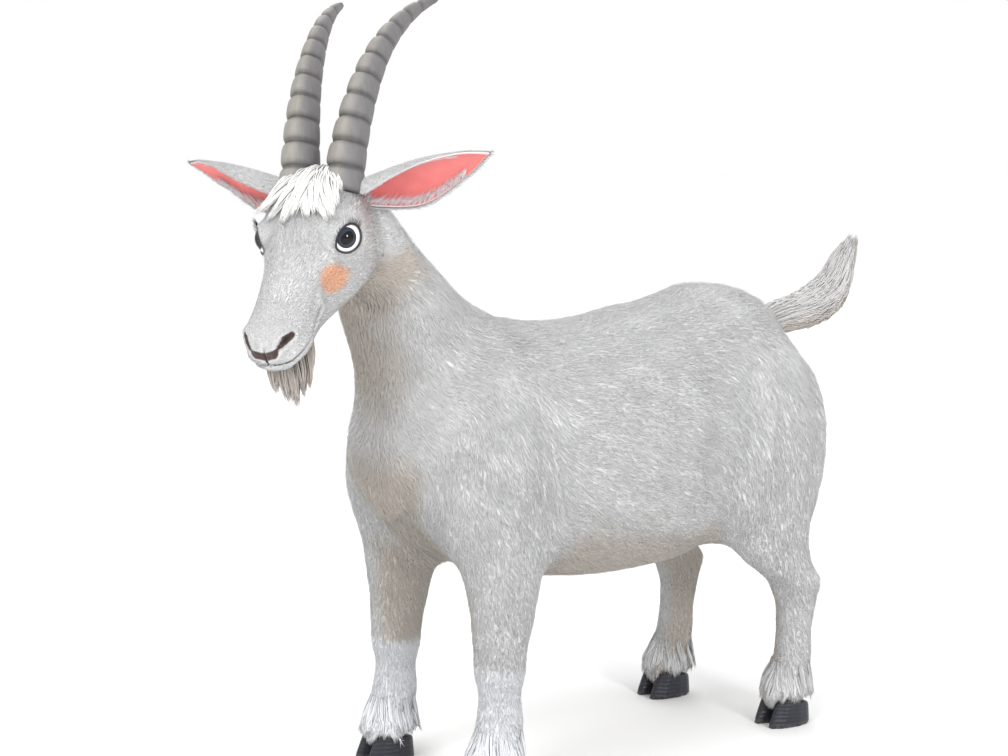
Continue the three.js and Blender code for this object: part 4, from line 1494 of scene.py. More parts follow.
@dataclass
class Coat:
    """Short fur: tufts over the whole skin, smallest on face and feet."""

    ground: Ground
    head: HeadFrame
    cover: float = 2.3  # how many tufts lie over each other
    most: int = 48000
    plots: tuple[Plot, ...] = (
        Plot("coat_torso_left", (Region.TORSO, Region.TAIL), LEFT),
        Plot("coat_torso_right", (Region.TORSO, Region.TAIL), RIGHT),
        Plot("coat_neck", (Region.NECK,)),
        Plot("coat_head_left", (Region.HEAD,), LEFT),
        Plot("coat_head_right", (Region.HEAD,), RIGHT),
        Plot("coat_forelegs", (Region.UPPER_LEG, Region.SHANK), end=-1),
        Plot("coat_hindlegs", (Region.UPPER_LEG, Region.SHANK), end=1),
    )

    def __post_init__(self) -> None:
        """Starts the random draw and makes the skin's search tree."""
        g = self.ground
        self.random = np.random.default_rng(SEED)
        self.tree = BVHTree.FromPolygons(g.points.tolist(), g.corners.tolist())

    def build(self, material: Material) -> None:
        """Makes every plot's piece."""
        for plot in self.plots:
            new_piece(plot.name, self._grow(plot).mesh(plot.name), material)

    def _faces(self, plot: Plot) -> Array:
        """The faces of a plot.

        Args:
            plot: The plot.

        Returns:
            Their corners.
        """
        g = self.ground
        centre = g.points[g.corners].mean(1)
        inside = among(g.region[g.corners[:, 0]], *plot.regions)
        y = self.head.local(centre)[:, 1] if Region.HEAD in plot.regions else centre[:, 1]
        if plot.side:
            inside &= np.sign(y) == plot.side
        if plot.end:
            inside &= np.sign(centre[:, 0]) == plot.end
        return g.corners[inside]

    def _places(self, plot: Plot) -> tuple[Array, Array]:
        """Draws where a plot's tufts stand, denser where they are small and none on bare skin.

        Args:
            plot: The plot.

        Returns:
            Each tuft's face, and what each corner of it counts for.
        """
        g, draw = self.ground, self.random
        faces = self._faces(plot)
        a, b, c = (g.points[faces[:, i]] for i in range(3))
        area = np.linalg.norm(np.cross(b - a, c - a), axis=1) / 2
        size = (g.length[faces] * g.wide[faces]).mean(1)
        bare = g.face_marks[faces][:, :, :2].max(2).mean(1)
        total = np.cumsum(area * self.cover / size * (1 - smooth(bare, 0.5, 0.9)))
        count = int(min(total[-1], self.most))
        at = (np.arange(count) + draw.random(count)) / count * total[-1]
        chosen = faces[np.minimum(np.searchsorted(total, at), len(faces) - 1)]
        s, t = np.sqrt(draw.random(count)), draw.random(count)
        return chosen, np.stack([1 - s, s * (1 - t), s * t], 1)

    def _grow(self, plot: Plot) -> Strands:
        """Draws a plot's tufts.

        Args:
            plot: The plot.

        Returns:
            Its strands.
        """
        g, draw = self.ground, self.random
        place = self._places(plot)
        count = len(place[0])
        root, normal = blend(g.points, *place), unit(blend(g.normals, *place))
        length, wide = blend(g.length, *place), blend(g.wide, *place)
        angle = draw.normal(0, 0.13, count) + 0.22 * ripple(root, 0.09, 1.0)
        angle += 0.12 * ripple(root, 0.03, 4.0)
        lie = flat_on(blend(g.lie, *place), normal)
        lie = lie * np.cos(angle)[:, None] + np.cross(normal, lie) * np.sin(angle)[:, None]
        length = length * draw.uniform(0.72, 1.22, count) * (1 + 0.15 * ripple(root, 0.05, 7.0))
        lift = draw.uniform(0.07, 0.16, count) + 0.03 * ripple(root, 0.04, 9.0)
        wide = wide * draw.uniform(0.8, 1.25, count) * 1.0
        path = tuft_paths(root, lie, normal, (length, wide, lift))
        path[:, 1] += self._clear(path[:, 1], lift * length)
        marks = blend(g.marks, *place)
        # ragged edge for the underside's tint and painted shade
        marks[:, 0] = np.clip(marks[:, 0] + draw.normal(0, 0.06, count), 0, 1)
        tone = 0.5 + draw.normal(0, 0.085, count) + 0.075 * ripple(root, 0.06, 3.0)
        # painted shade: short tufts on muzzle and lids are darker, standing in for longer fur's
        # self-shadowing
        tone -= 0.17 * smooth(length / MM, 7.0, 3.0)
        values = {
            "marks": marks,
            "face_marks": np.zeros((count, 3)),
            "tone": np.clip(tone, 0, 1),
        }
        return tufts(path, normal, wide, self._unwrap(plot, root), values)

    def _clear(self, tips: Array, height: Array) -> Array:
        """Lifts out of the skin those tips that a hollow would swallow.

        Args:
            tips: The tufts' tips.
            height: How high over the skin each has to stay.

        Returns:
            How far to move each.
        """
        move = np.zeros_like(tips)
        for i, (tip, least) in enumerate(zip(tips.tolist(), height.tolist())):
            at, normal, _, _ = self.tree.find_nearest(tip)
            short = least - (Vector(tip) - at).dot(normal)
            if short > 0:
                move[i] = normal * short
        return move

    def _unwrap(self, plot: Plot, root: Array) -> Array:
        """Places on an unwrap of the skin, rolled off round the stretch's own length.

        Args:
            plot: The plot.
            root: The tufts' roots.

        Returns:
            Places from 0 to 1 each way.
        """
        if Region.HEAD in plot.regions:
            p = self.head.local(root)
            along = (p[:, 0] + 185) / 240
            turn = np.arctan2(p[:, 2] + 6, np.abs(p[:, 1])) / math.pi + 0.5
        elif Region.NECK in plot.regions:
            way, over = unit(np.array([0.54, 0.0, -0.84])), np.array([0.84, 0.0, 0.54])
            far, middle = root @ way, root.mean(0)
            along = (far - far.min()) / np.ptp(far)
            off = root - middle - np.outer(far - middle @ way, way)
            turn = np.arctan2(off[:, 1], off @ over) / TURN + 0.5
        elif Region.TORSO in plot.regions:
            along = (root[:, 0] + 0.27) / 0.62
            turn = np.arctan2(root[:, 2] - 0.35, np.abs(root[:, 1])) / math.pi + 0.5
        else:
            x, y, z = root.T
            along = z / 0.5
            off = np.arctan2(x - np.where(x < 0, -0.155, 0.235), y - np.sign(y) * 0.08)
            turn = (off / TURN + 0.5) * 0.48 + np.where(y < 0, 0.0, 0.5)
        return np.clip(np.stack([along, turn], 1), 0.01, 0.99)


# ---------------------------------------------------------------- long hair


def read_along(rows: Array, owner: Array, at: Array) -> Array:
    """Reads clumps' rows of values at places between them.

    Args:
        rows: Values by clump and step.
        owner: The clump of each hair.
        at: Where each of a hair's points lies along its clump, in steps.

    Returns:
        Values by hair and point.
    """
    low = np.minimum(at.astype(int), rows.shape[1] - 2)
    part = (at - low).reshape(*at.shape, *[1] * (rows.ndim - 2))
    return rows[owner[:, None], low] * (1 - part) + rows[owner[:, None], low + 1] * part


def hair_marks(under: Array, stocking: Array) -> dict[str, Array]:
    """Hair's coat attributes: underside tint with painted shade, stocking, and nothing bare."""
    zero = np.zeros_like(under)
    return {"marks": np.stack([under, stocking, zero], 1), "face_marks": np.stack([zero] * 3, 1)}


@dataclass(frozen=True)
class Comb:
    """Fine pointed hairs gathered into clumps: each clump's shape, and its hairs."""

    knots: tuple[float, ...]  # places along a clump
    halves: tuple[float, ...]  # its half width there, in millimetres
    flat: float  # a clump's thickness as a share of its width
    each: int  # hairs to a clump
    steps: int  # points along a hair
    wide: float  # half width of a hair, in metres
    stray: float  # how far hairs wander out of their clump

    def hairs(self, draw: np.random.Generator, paths: list[Array], faces: list[Array]) -> Strands:
        """Draws the hairs of each clump.

        Args:
            draw: The random draw.
            paths: The clumps' middle lines.
            faces: Their outward sides.

        Returns:
            The hairs.
        """
        guide, faces = np.array(paths), np.array(faces)
        each = self.each
        wide = self.wide
        clumps, length = guide.shape[:2]
        count = clumps * each
        owner = np.repeat(np.arange(clumps), each)
        profile = through(self.knots, self.halves, np.linspace(0, 1, length)) * MM
        t = np.linspace(0, 1, self.steps)[None] * draw.uniform(0.72, 1.0, (count, 1)) ** 0.7
        at = t * (length - 1)
        line = read_along(guide, owner, at)
        reach = read_along(np.broadcast_to(profile, (clumps, length)), owner, at)
        run = unit(np.gradient(line, axis=1))
        out = flat_on(np.broadcast_to(faces[owner][:, None], line.shape), run)
        across = np.cross(out, run)
        angle, radius = draw.uniform(0, TURN, count), np.sqrt(draw.random(count))
        a = (np.cos(angle) * radius)[:, None] * reach
        b = (np.sin(angle) * radius)[:, None] * reach * self.flat
        bow = draw.normal(0, 0.10 * self.stray, (count, 2))[:, None] * (t**2)[..., None]
        size = np.linalg.norm(line[:, -1] - line[:, 0], axis=1)[:, None]
        path = line + across * (a + bow[..., 0] * size)[..., None]
        path = path + out * (b + bow[..., 1] * size * 0.5)[..., None]
        step = np.linspace(0, 1, self.steps)
        taper = through([0, 0.15, 0.5, 0.85, 1], [0.8, 1.0, 0.95, 0.55, 0], step)
        half = taper[None] * wide * draw.uniform(0.75, 1.25, (count, 1))
        side = unit(out[:, 0] + 0.5 * across[:, 0] * draw.normal(0, 1, (count, 1)))
        unwrap = np.clip(np.stack([(owner + 0.5) / clumps, draw.random(count)], 1), 0.01, 0.99)
        tone = np.clip(0.5 + draw.normal(0, 0.2, count), 0, 1)
        return Strands(path, side, half, half * 0.55, unwrap, {"tone": tone})


@dataclass(frozen=True)
class Row:
    """A row of clumps across the head: where, how many, half its width, their length and rise."""

    x: float
    count: int
    reach: float
    length: float
    lift: float = 0.0

    def across(self) -> list[float]:
        """Where each clump stands, from -1 to 1."""
        return [i / (self.count - 1) * 2 - 1 for i in range(self.count)]


def hanging(root: Array, way: Array, bend: Array, size: float) -> list[Array]:
    """Stops of a lock that leaves its root one way, and whose tip is bent another."""
    return [root, root + way * size * 0.45, root + way * size * 0.9 + bend * size]


@dataclass
class Beard:
    """The chin beard, in pointed locks that hang straight down."""

    head: HeadFrame
    rows: tuple[Row, ...] = (
        Row(-120, 3, 9, 44),
        Row(-129, 4, 13, 56),
        Row(-138, 5, 14, 66),
        Row(-147, 4, 11, 58),
    )
    chin: float = -33.0
    middle: float = -130.0  # rows beyond it face forwards
    comb: Comb = Comb((0, 0.3, 0.7, 1), (7.0, 7.5, 4.2, 0.3), 0.6, 75, 8, 0.00062, 0.3)

    def build(self, material: Material) -> None:
        """Makes the beard.

        Args:
            material: Its material.
        """
        draw = np.random.default_rng(SEED + 1)
        down = -UP @ self.head.turn
        paths, faces = [], []
        t = np.linspace(0, 1, 12)
        for row in self.rows:
            for across in row.across():
                x = row.x + draw.uniform(-2, 2)
                root = np.array([x, across * row.reach, self.chin + abs(across) * 4])
                way = unit(down + np.array([0.04, across * 0.26, 0.0]))
                size = row.length * (1 - 0.25 * abs(across)) + draw.uniform(-5, 5)
                bend = np.array([0.12 + draw.uniform(-0.06, 0.06), -across * 0.2, -0.02])
                paths.append(self.head.world(bezier(hanging(root, way, bend, size), t)))
                angle = across * 1.1 + (math.pi if row.x < self.middle else 0.0)
                faces.append(self.head.aim(np.array([math.cos(angle), math.sin(angle), 0.0])))
        mesh = self.comb.hairs(draw, paths, faces).mesh("beard_hair")
        new_piece("beard_hair", mesh, material, ("beard",))


@dataclass
class Forelock:
    """The white tuft between the horns, swept forward in pointed locks."""

    head: HeadFrame
    rows: tuple[Row, ...] = (
        Row(16, 4, 15, 30, 0.75),
        Row(8, 5, 18, 38, 0.5),
        Row(-1, 5, 19, 44, 0.3),
        Row(-10, 5, 17, 46, 0.16),
        Row(-18, 4, 12, 42, 0.08),
    )
    poll: float = 57.0
    comb: Comb = Comb((0, 0.3, 0.7, 1), (7.5, 7.5, 4.0, 0.3), 0.5, 60, 8, 0.0006, 0.5)

    def build(self, material: Material) -> None:
        """Makes the forelock.

        Args:
            material: Its material.
        """
        draw = np.random.default_rng(SEED + 2)
        paths, faces = [], []
        t = np.linspace(0, 1, 12)
        for row in self.rows:
            for across in row.across():
                hollow = (3 if row.x > 10 else 0) + 0.012 * (row.x + 5) ** 2
                top = self.poll - abs(across) * 4 - hollow
                root = np.array([row.x + draw.uniform(-2, 2), across * row.reach, top])
                way = unit(np.array([-0.93, across * 0.35 + 0.08, row.lift]))
                aside = across * 0.2 + draw.uniform(-0.16, 0.08)
                bend = np.array([-0.05, aside, -0.24 - row.lift * 0.5])
                size = row.length + draw.uniform(-6, 6)
                paths.append(self.head.world(bezier(hanging(root, way, bend, size), t)))
                faces.append(self.head.aim(unit(np.array([0.0, across * 0.35, 1.0]))))
        mesh = self.comb.hairs(draw, paths, faces).mesh("forelock_hair")
        new_piece("forelock_hair", mesh, material, ("forelock",))


@dataclass
class Fetlocks:
    """The skirts of hair over the hooves."""

    around: int = 11
    heights: tuple[float, ...] = (50.0, 58.0, 66.0)
    hem: float = 27.0
    outset: float = 0.06  # how far out of the leg's middle roots are looked for
    top: float = 0.12  # height that no face of the feet passes
    comb: Comb = Comb((0, 0.35, 0.7, 1), (5.5, 6.5, 4.2, 0.2), 0.35, 34, 6, 0.0006, 0.35)

    def build(self, coat: Material, ground: Ground) -> None:
        """Makes the skirts of the four feet.

        Args:
            coat: The coat's material, whose marks say which feet are pale.
            ground: The skin that they grow from.
        """
        draw = np.random.default_rng(SEED + 3)
        low = ground.points[ground.corners][:, :, 2].max(1) < self.top
        tree = BVHTree.FromPolygons(ground.points.tolist(), ground.corners[low].tolist())
        paths, faces, pale = [], [], []
        t = np.linspace(0, 1, 9)
        for leg in LEG_NAMES:
            x, y = self._middle(leg)
            for tier, height in enumerate(self.heights):
                for i in range(self.around):
                    angle = (i + 0.5 * tier + draw.uniform(-0.2, 0.2)) / self.around * TURN
                    flare = np.array([math.cos(angle), math.sin(angle), 0.0])
                    z = height * MM + draw.uniform(-0.003, 0.003)
                    start = np.array([x, y, z]) + flare * self.outset
                    hit, _, _, _ = tree.ray_cast(start.tolist(), (-flare).tolist())
                    if hit is None:
                        continue
                    root = np.array(hit) / MM - flare * 1.2
                    size = height - self.hem + draw.uniform(-4, 3)
                    stops = [
                        root,
                        root + flare * 2.5 - UP * 0.45 * size,
                        root + flare * (2.0 + 0.14 * size) - UP * size,
                    ]
                    paths.append(self._outside(tree, bezier(stops, t) * MM))
                    faces.append(unit(flare + UP * 0.2))
                    pale.append(1.0 if leg.startswith("fore") else 0.0)
        strands = self.comb.hairs(draw, paths, faces)
        white = np.repeat(np.array(pale), len(strands.path) // len(paths))
        tone = 0.12 + 0.4 * strands.values["tone"]
        strands.values = {"tone": tone, **hair_marks(np.zeros_like(white), white)}
        new_piece("fetlock_hair", strands.mesh("fetlock_hair"), coat)

    def _middle(self, leg: str) -> tuple[float, float]:
        """The middle of a foot.

        Args:
            leg: The leg's name.

        Returns:
            Its X and Y in the row frame.
        """
        outer, inner = (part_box(f"{leg}_hoof_{part}") for part in ("outer", "inner"))
        x = (outer[0].x + outer[1].x) / 2 + 0.002
        return x, sum(corner.y for corner in (*outer, *inner)) / 4

    def _outside(self, tree: BVHTree, line: Array) -> Array:
        """A lock's line, moved out of the skin where it would run inside it.

        Args:
            tree: The skin of the feet.
            line: The lock's line, from its root.

        Returns:
            The line, from just under the skin to clear of it.
        """
        heights = np.linspace(-0.0012, 0.0034, len(line)).tolist()
        moved = []
        for point, least in zip(line.tolist(), heights):
            at, normal, _, _ = tree.find_nearest(point)
            short = max(least - (Vector(point) - at).dot(normal), 0.0)
            moved.append(Vector(point) + Vector((normal.x, normal.y, 0.0)) * short)
        return np.array(moved)


@dataclass
class Tail:
    """The short tail, carried level and turned up at its pointed tip."""

    head: HeadFrame
    line: tuple = ((217, 426), (259, 434), (301, 441), (340, 460), (364, 500))
    rump: float = 237.0
    dock_end: float = 0.86
    tiers: int = 13
    around: int = 11
    comb: Comb = Comb((0, 0.3, 0.7, 1), (5.5, 7.5, 5.0, 0.4), 0.4, 32, 6, 0.00064, 0.6)

    def __post_init__(self) -> None:
        """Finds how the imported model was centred."""
        self.shift = self.head.shift[0] / MM

    def root_x(self) -> float:
        """Where the tail leaves the rump."""
        return (self.rump + self.shift) * MM

    def at(self, t: Array) -> Array:
        """Points on the tail's middle line, in metres.

        Args:
            t: Places from 0 to 1 along it.

        Returns:
            One point a place.
        """
        x, z = (np.array(column, float) for column in zip(*self.line))
        knots = np.linspace(0, 1, len(x))
        x, z = through(knots, x, t) + self.shift, through(knots, z, t)
        return np.stack([x, np.zeros_like(t), z], -1) * MM

    def dock(self) -> Array:
        """The fleshy dock inside the hair.

        Returns:
            Its rings, point by point.
        """
        t = np.linspace(0.0, self.dock_end, 12)
        centre = self.at(t)
        up = np.cross(unit(np.gradient(centre, axis=0)), ACROSS)
        radius = through([0, 0.4, self.dock_end], [13, 10, 5], t) * MM
        turn = np.linspace(0, TURN, 16, endpoint=False)
        ring = np.cos(turn)[None, :, None] * ACROSS + np.sin(turn)[None, :, None] * up[:, None]
        return centre[:, None] + ring * radius[:, None, None]

    def build(self, coat: Material) -> None:
        """Makes the tail's hair.

        Args:
            coat: The coat's material.
        """
        draw = np.random.default_rng(SEED + 4)
        paths, faces, under = [], [], []
        for tier in range(self.tiers):
            t = 0.10 + 0.80 * tier / (self.tiers - 1)
            for i in range(self.around):
                shift = i + 0.5 * (tier % 2) + draw.uniform(-0.25, 0.25)
                angle = shift / self.around * TURN
                path, face = self._clump(t, angle, draw.uniform(0.3, 0.36))
                paths.append(path)
                faces.append(unit(face))
                # painted shade under the tail, which is also the taupe tint
                under.append(float(smooth(-math.sin(angle), 0.1, 0.8)))
        strands = self.comb.hairs(draw, paths, faces)
        low = np.repeat(np.array(under), len(strands.path) // len(paths))
        # Painted shade: the whole tail is darker and partly taupe, to offset the light that its long
        # hair catches.
        tone = 0.4 * strands.values["tone"]
        strands.values = {"tone": tone, **hair_marks(0.2 + low * 0.7, np.zeros_like(low))}
        new_piece("tail_hair", strands.mesh("tail_hair"), coat)

    def _clump(self, t: float, angle: float, size: float) -> tuple[Array, Array]:
        """One clump's line, which follows the tail and swells away from it.

        Args:
            t: Where along the tail it grows.
            angle: Where round it.
            size: Its length as a share of the tail's.

        Returns:
            Its line, and its outward side.
        """
        here, ahead = self.at(np.array([t, t + 0.02]))
        up = np.cross(unit(ahead - here), ACROSS)
        face = ACROSS * math.cos(angle) * 0.8 + up * math.sin(angle)
        radius = through([0, 0.4, self.dock_end, 1], [11, 9, 4, 2], t) * MM * 0.8
        swell = through([0, 0.3, 0.6, 1], [7, 12, 17, 1], t) * MM
        s = np.linspace(0, 1, 10)
        along = t + s * size * (1 - 0.35 * smooth(t, 0.6, 1.0))
        before, tip = self.at(np.array([0.985, 1.0]))
        beyond = np.maximum(along - 1.0, 0.0) * 0.17
        line = self.at(np.minimum(along, 1.0)) + unit(tip - before) * beyond[:, None]
        close = 0.45 * (1 - t)
        puff = through([0, 0.35, 0.75, 1], [0.0, 1.0, 0.55 + close, close], s)
        return line + face * (radius * (1 - 0.3 * s) + puff * swell)[:, None], face


# ---------------------------------------------------------------- horns, ears, hooves and eyes


@dataclass
class Horns:
    """Two ringed horns that rise from the poll and sweep back."""

    head: HeadFrame
    root: Triple = (8.0, 22.0, 34.0)
    stops: tuple[Triple, ...] = ((-8, 0, -4), (60, 4, 54), (146, 14, 86), (236, 30, 40))
    half: tuple[float, float] = (20.0, 17.0)
    rings: int = 10
    rows: int = 100
    around: int = 36
    pale: Triple = (-0.27, 0.93, 0.25)  # way that the flank with painted light faces; the other flank gets painted shade

    def build(self, material: Material) -> None:
        """Makes both horns."""
        for side, word in SIDES:
            self._one(side, f"horn_{word}", material)

    def _one(self, side: int, node: str, material: Material) -> None:
        """Makes one horn.

        Args:
            side: LEFT or RIGHT.
            node: The CAD node that it replaces.
            material: Its material.
        """
        t = np.linspace(0, 0.995, self.rows)
        turn = np.linspace(0, TURN, self.around, endpoint=False)
        centre = bezier([on_side(np.add(self.root, stop), side) for stop in self.stops], t)
        run = unit(np.gradient(centre, axis=0))
        across = unit(np.cross(ACROSS * side, run))[:, None]
        out = np.cross(run, across[:, 0])[:, None]
        c, s = np.cos(turn)[None, :, None], np.sin(turn)[None, :, None]
        front = np.maximum(0.25, np.maximum(0, -side * np.cos(turn)) ** 0.7)
        a, b, groove = self._section(t, turn, front)
        points = centre[:, None] + across * a[..., None] + out * b[..., None]
        # Painted light on the flank facing self.pale, painted shade on the other.
        lit_flank = smooth((across * c + out * s) @ np.array(self.pale), -0.32, 0.32)
        # painted shade in the grooves, stronger at the front and towards the root
        dark = (groove * (1 - t) ** 0.3)[:, None] * (0.75 + 0.25 * front)
        along = np.broadcast_to(t[:, None], lit_flank.shape)
        bm = bmesh.new()
        rows = loft(bm, self.head.world(points))
        marks = by_ring(bm, rows, np.stack([dark, lit_flank, along], -1))
        mesh = finished(bm, node)
        write_values(mesh, "horn_marks", marks)
        new_piece(f"{node}_ringed", mesh, material, (node,))

    def _section(self, t: Array, turn: Array, front: Array) -> tuple[Array, Array, Array]:
        """A horn's section at each ring, tapering, ringed and rounded at the tip.

        Args:
            t: Places along the horn.
            turn: Angles round it.
            front: How strongly the rings stand out at each angle.

        Returns:
            Millimetres across and out of its middle by place and angle, and its grooves' depth
            by place.
        """
        taper = 1 - t**1.35 * 0.86 + 0.14 * np.exp(-t / 0.05)
        tip = np.sqrt(np.clip((1 - t) / 0.03, 0, 1))[:, None]
        phase = (t * (self.rings + 1.5)) % 1.0
        groove = hump(np.minimum(phase, 1 - phase), 0.0, 0.11)
        band = 0.9 - 2.4 * groove + 0.8 * np.sin(math.pi * phase)
        keel = 1 + 0.1 * np.maximum(0, -np.cos(turn)) ** 3
        ridge = band[:, None] * (1 - t[:, None]) ** 0.5 * 1.5 * front[None]
        ridge += 0.25 * np.sin(5 * turn[None] + 3 * t[:, None] * math.pi)
        a = np.cos(turn)[None] * (self.half[0] * taper[:, None] * keel[None] + ridge)
        b = np.sin(turn)[None] * (self.half[1] * taper[:, None] + ridge)
        return a * tip, b * tip, groove


@dataclass(frozen=True)
class EarFur:
    """A kind of tuft on the ears: its size in millimetres, and how it leans."""

    length: float
    wide: float
    spill: float = 0.0  # how far it leans out over the rim
    inside: bool = False  # whether it grows in the cup


@dataclass
class Ears:
    """Two leaf-shaped ears, rolled at the root and open forwards."""

    head: HeadFrame
    root: Triple = (20.0, 38.0, 28.0)
    out: Triple = (0.12, 0.95, 0.1)
    ahead: Triple = (-0.93, -0.05, -0.3)
    length: float = 120.0
    half: float = 29.0
    wall: float = 2.4
    columns: int = 26
    rows: int = 44
    back: EarFur = EarFur(7.0, 0.5)
    rim: EarFur = EarFur(6.0, 0.42, 0.35)
    wisps: EarFur = EarFur(11.0, 0.24, -1.0, True)

    def sheet(self, side: int, t: Array, a: Array, sunk: float = 0.0) -> Array:
        """Points of an ear's sheet in the row frame.

        Args:
            side: LEFT or RIGHT.
            t: From 0 at the root to 1 at the tip.
            a: From -1 at one edge to 1 at the other.
            sunk: How far inside the back of the ear, in millimetres.

        Returns:
            The points.
        """
        level = (UP @ self.head.turn - UP) * 0.2
        out = unit(on_side(self.out, side) + level)
        ahead = flat_on(unit(on_side(self.ahead, side)), out)
        edge = np.cross(out, ahead)
        root = on_side(self.root, side)
        stops = [
            root - out * 10,
            root + out * self.length * 0.5 - ahead * 5,
            root + out * self.length + ahead * 4 + UP * 3,
        ]
        half = through([0, 0.12, 0.45, 0.78, 1], [11, 16, self.half, 18, 0.4], t)
        angle = through([0, 0.3, 0.6, 1], [2.3, 1.5, 1.0, 0.5], t)
        radius = half / np.sin(np.minimum(angle, math.pi / 2))
        r = np.maximum(radius - sunk * np.minimum(1, half / 8), 0.01)
        points = bezier(stops, t) + edge * (np.sin(a * angle) * r)[..., None]
        return self.head.world(points + ahead * (radius - np.cos(a * angle) * r)[..., None])

    def build(self, skin: Material, coat: Material) -> None:
        """Makes both ears and their fur.

        Args:
            skin: The ear sheet's material.
            coat: The coat's material.
        """
        for side, word in SIDES:
            self._shell(side, f"ear_{word}", skin)
        self._fur(coat)

    def _shell(self, side: int, node: str, material: Material) -> None:
        """Makes one ear's sheet, closed round its rim.

        Args:
            side: LEFT or RIGHT.
            node: The CAD node that it replaces.
            material: Its material.
        """
        bm = bmesh.new()
        bmesh.ops.create_grid(bm, x_segments=self.columns, y_segments=self.rows, size=1.0)
        bm.verts.ensure_lookup_table()
        flat = np.array([v.co[:] for v in bm.verts])
        t = np.minimum((flat[:, 1] + 1) / 2, 0.997)
        back = self.sheet(side, t, np.sign(flat[:, 0]) * np.abs(flat[:, 0]) ** 0.85)
        for v, p in zip(bm.verts, back):
            v.co = p
        sheet = as_mesh(bm, node)
        spot, middle = np.array([0.45]), np.array([0.0])
        outside, inside = (self.sheet(side, spot, middle, sunk)[0] for sunk in (0.0, 5.0))
        near = np.argmin(np.linalg.norm(back - outside, axis=1))
        inward = normals_of(sheet)[near] @ (inside - outside) > 0
        wall = {
            "thickness": self.wall * MM,
            "offset": 1.0 if inward else -1.0,
            "use_quality_normals": True,
        }
        tree = BVHTree.FromPolygons(back.tolist(), [tuple(f.vertices) for f in sheet.polygons])
        made = modified(sheet, ("SOLIDIFY", wall), ("SUBSURF", {"levels": 1, "render_levels": 1}))
        points = points_of(made)
        away = np.array([tree.find_nearest(p)[3] for p in points.tolist()])
        cup = smooth(away, 0.45 * self.wall * MM, 0.85 * self.wall * MM)
        cup *= smooth(self._rim_share(side, points), 0.97, 0.90)
        # Painted shade: the cup's pink darkens towards the ear's root.
        deep = self.head.world(on_side(self.root, side))
        depth = smooth(np.linalg.norm(points - deep, axis=1) / MM, 74, 20)
        vein = 0.5 + 0.5 * ripple(points, 0.016, 5.0)
        write_values(made, "ear_marks", np.stack([cup, depth, vein], 1))
        new_piece(f"{node}_leaf", made, material, (node,))

    def _rim_share(self, side: int, points: Array) -> Array:
        """How near points are to an ear's rim.

        Args:
            side: LEFT or RIGHT.
            points: Points in the row frame.

        Returns:
            1 on the rim, 0 from 30 mm away.
        """
        t = np.linspace(0.0, 0.997, 80)
        rim = np.concatenate([self.sheet(side, t, np.full(80, a)) for a in (-1.0, 1.0)])
        away = np.min(np.linalg.norm(points[:, None] - rim[None], axis=2), axis=1) / MM
        return 1 - np.clip(away / 30, 0, 1)

    def _fur(self, material: Material) -> None:
        """Makes tufts on the ears' backs and round their rims, and pale wisps in the cups.

        Args:
            material: The coat's material.
        """
        draw = np.random.default_rng(SEED + 5)
        count, rim, wisps = 12500, 2600, 800
        sets = []
        for side in (LEFT, RIGHT):
            t = draw.uniform(0.0, 0.985, count)
            a = draw.uniform(-1, 1, count)
            share = through([0, 0.12, 0.45, 0.78, 1], [0.5, 0.6, 1, 0.7, 0.12], t)
            keep = draw.random(count) < share
            sets.append(self._tufts(draw, side, t[keep], a[keep], self.back))
            t = draw.uniform(0.05, 0.99, rim)
            a = np.where(draw.random(rim) < 0.5, -1.0, 1.0) * draw.uniform(0.95, 1.0, rim)
            sets.append(self._tufts(draw, side, t, a, self.rim))
            t = 0.03 + 0.72 * draw.random(wisps) ** 1.3
            a = np.where(draw.random(wisps) < 0.5, -1.0, 1.0) * draw.uniform(0.86, 1.0, wisps)
            sets.append(self._tufts(draw, side, t, a, self.wisps))
        path, face, half, pale, place, tone = (np.concatenate(rows) for rows in zip(*sets))
        values = {**hair_marks(np.zeros_like(pale), pale), "tone": tone}
        mesh = tufts(path, face, half, place, values).mesh("ear_fur")
        new_piece("ear_fur", mesh, material)

    def _tufts(
        self, draw: np.random.Generator, side: int, t: Array, a: Array, fur: EarFur
    ) -> tuple[Array, ...]:
        """Tufts rooted on an ear.

        Args:
            draw: The random draw.
            side: LEFT or RIGHT.
            t: Where along the ear.
            a: Where across it.
            fur: Their kind.

        Returns:
            Paths, faces, half widths, stocking shares, unwrap places and tones.
        """
        count, e = len(t), 0.01
        root = self.sheet(side, t, a)
        along = unit(self.sheet(side, np.minimum(t + e, 0.999), a) - self.sheet(side, t - e, a))
        over = unit(self.sheet(side, t, a + e) - self.sheet(side, t, a - e))
        normal = unit(np.cross(along, over))
        outwards = root - self.sheet(side, t, a, 1.0)
        normal = normal * np.sign(np.sum(normal * outwards, axis=1))[:, None]
        if fur.inside:
            root, normal = self.sheet(side, t, a, self.wall + 0.2), -normal
        size = fur.length * MM * draw.uniform(0.7, 1.2, count)
        lean = over * (np.sign(a) * (0.15 + fur.spill) * np.abs(a))[:, None]
        lie = flat_on(along + lean + 0.16 * draw.normal(0, 1, (count, 3)), normal)
        half = fur.wide * MM * draw.uniform(0.8, 1.2, count) * 1.0
        lift = draw.uniform(0.06, 0.15, count) + (0.25 if fur.inside else 0.0)
        path = tuft_paths(root, lie, normal, (size, half, lift))
        place = np.stack([t, 0.25 + 0.22 * a + (0.5 if side > 0 else 0)], 1)
        tone = np.clip(0.5 + draw.normal(0, 0.08, count), 0, 1)
        pale = np.full(count, float(fur.inside))
        return path, normal, half, pale, np.clip(place, 0.01, 0.99), tone


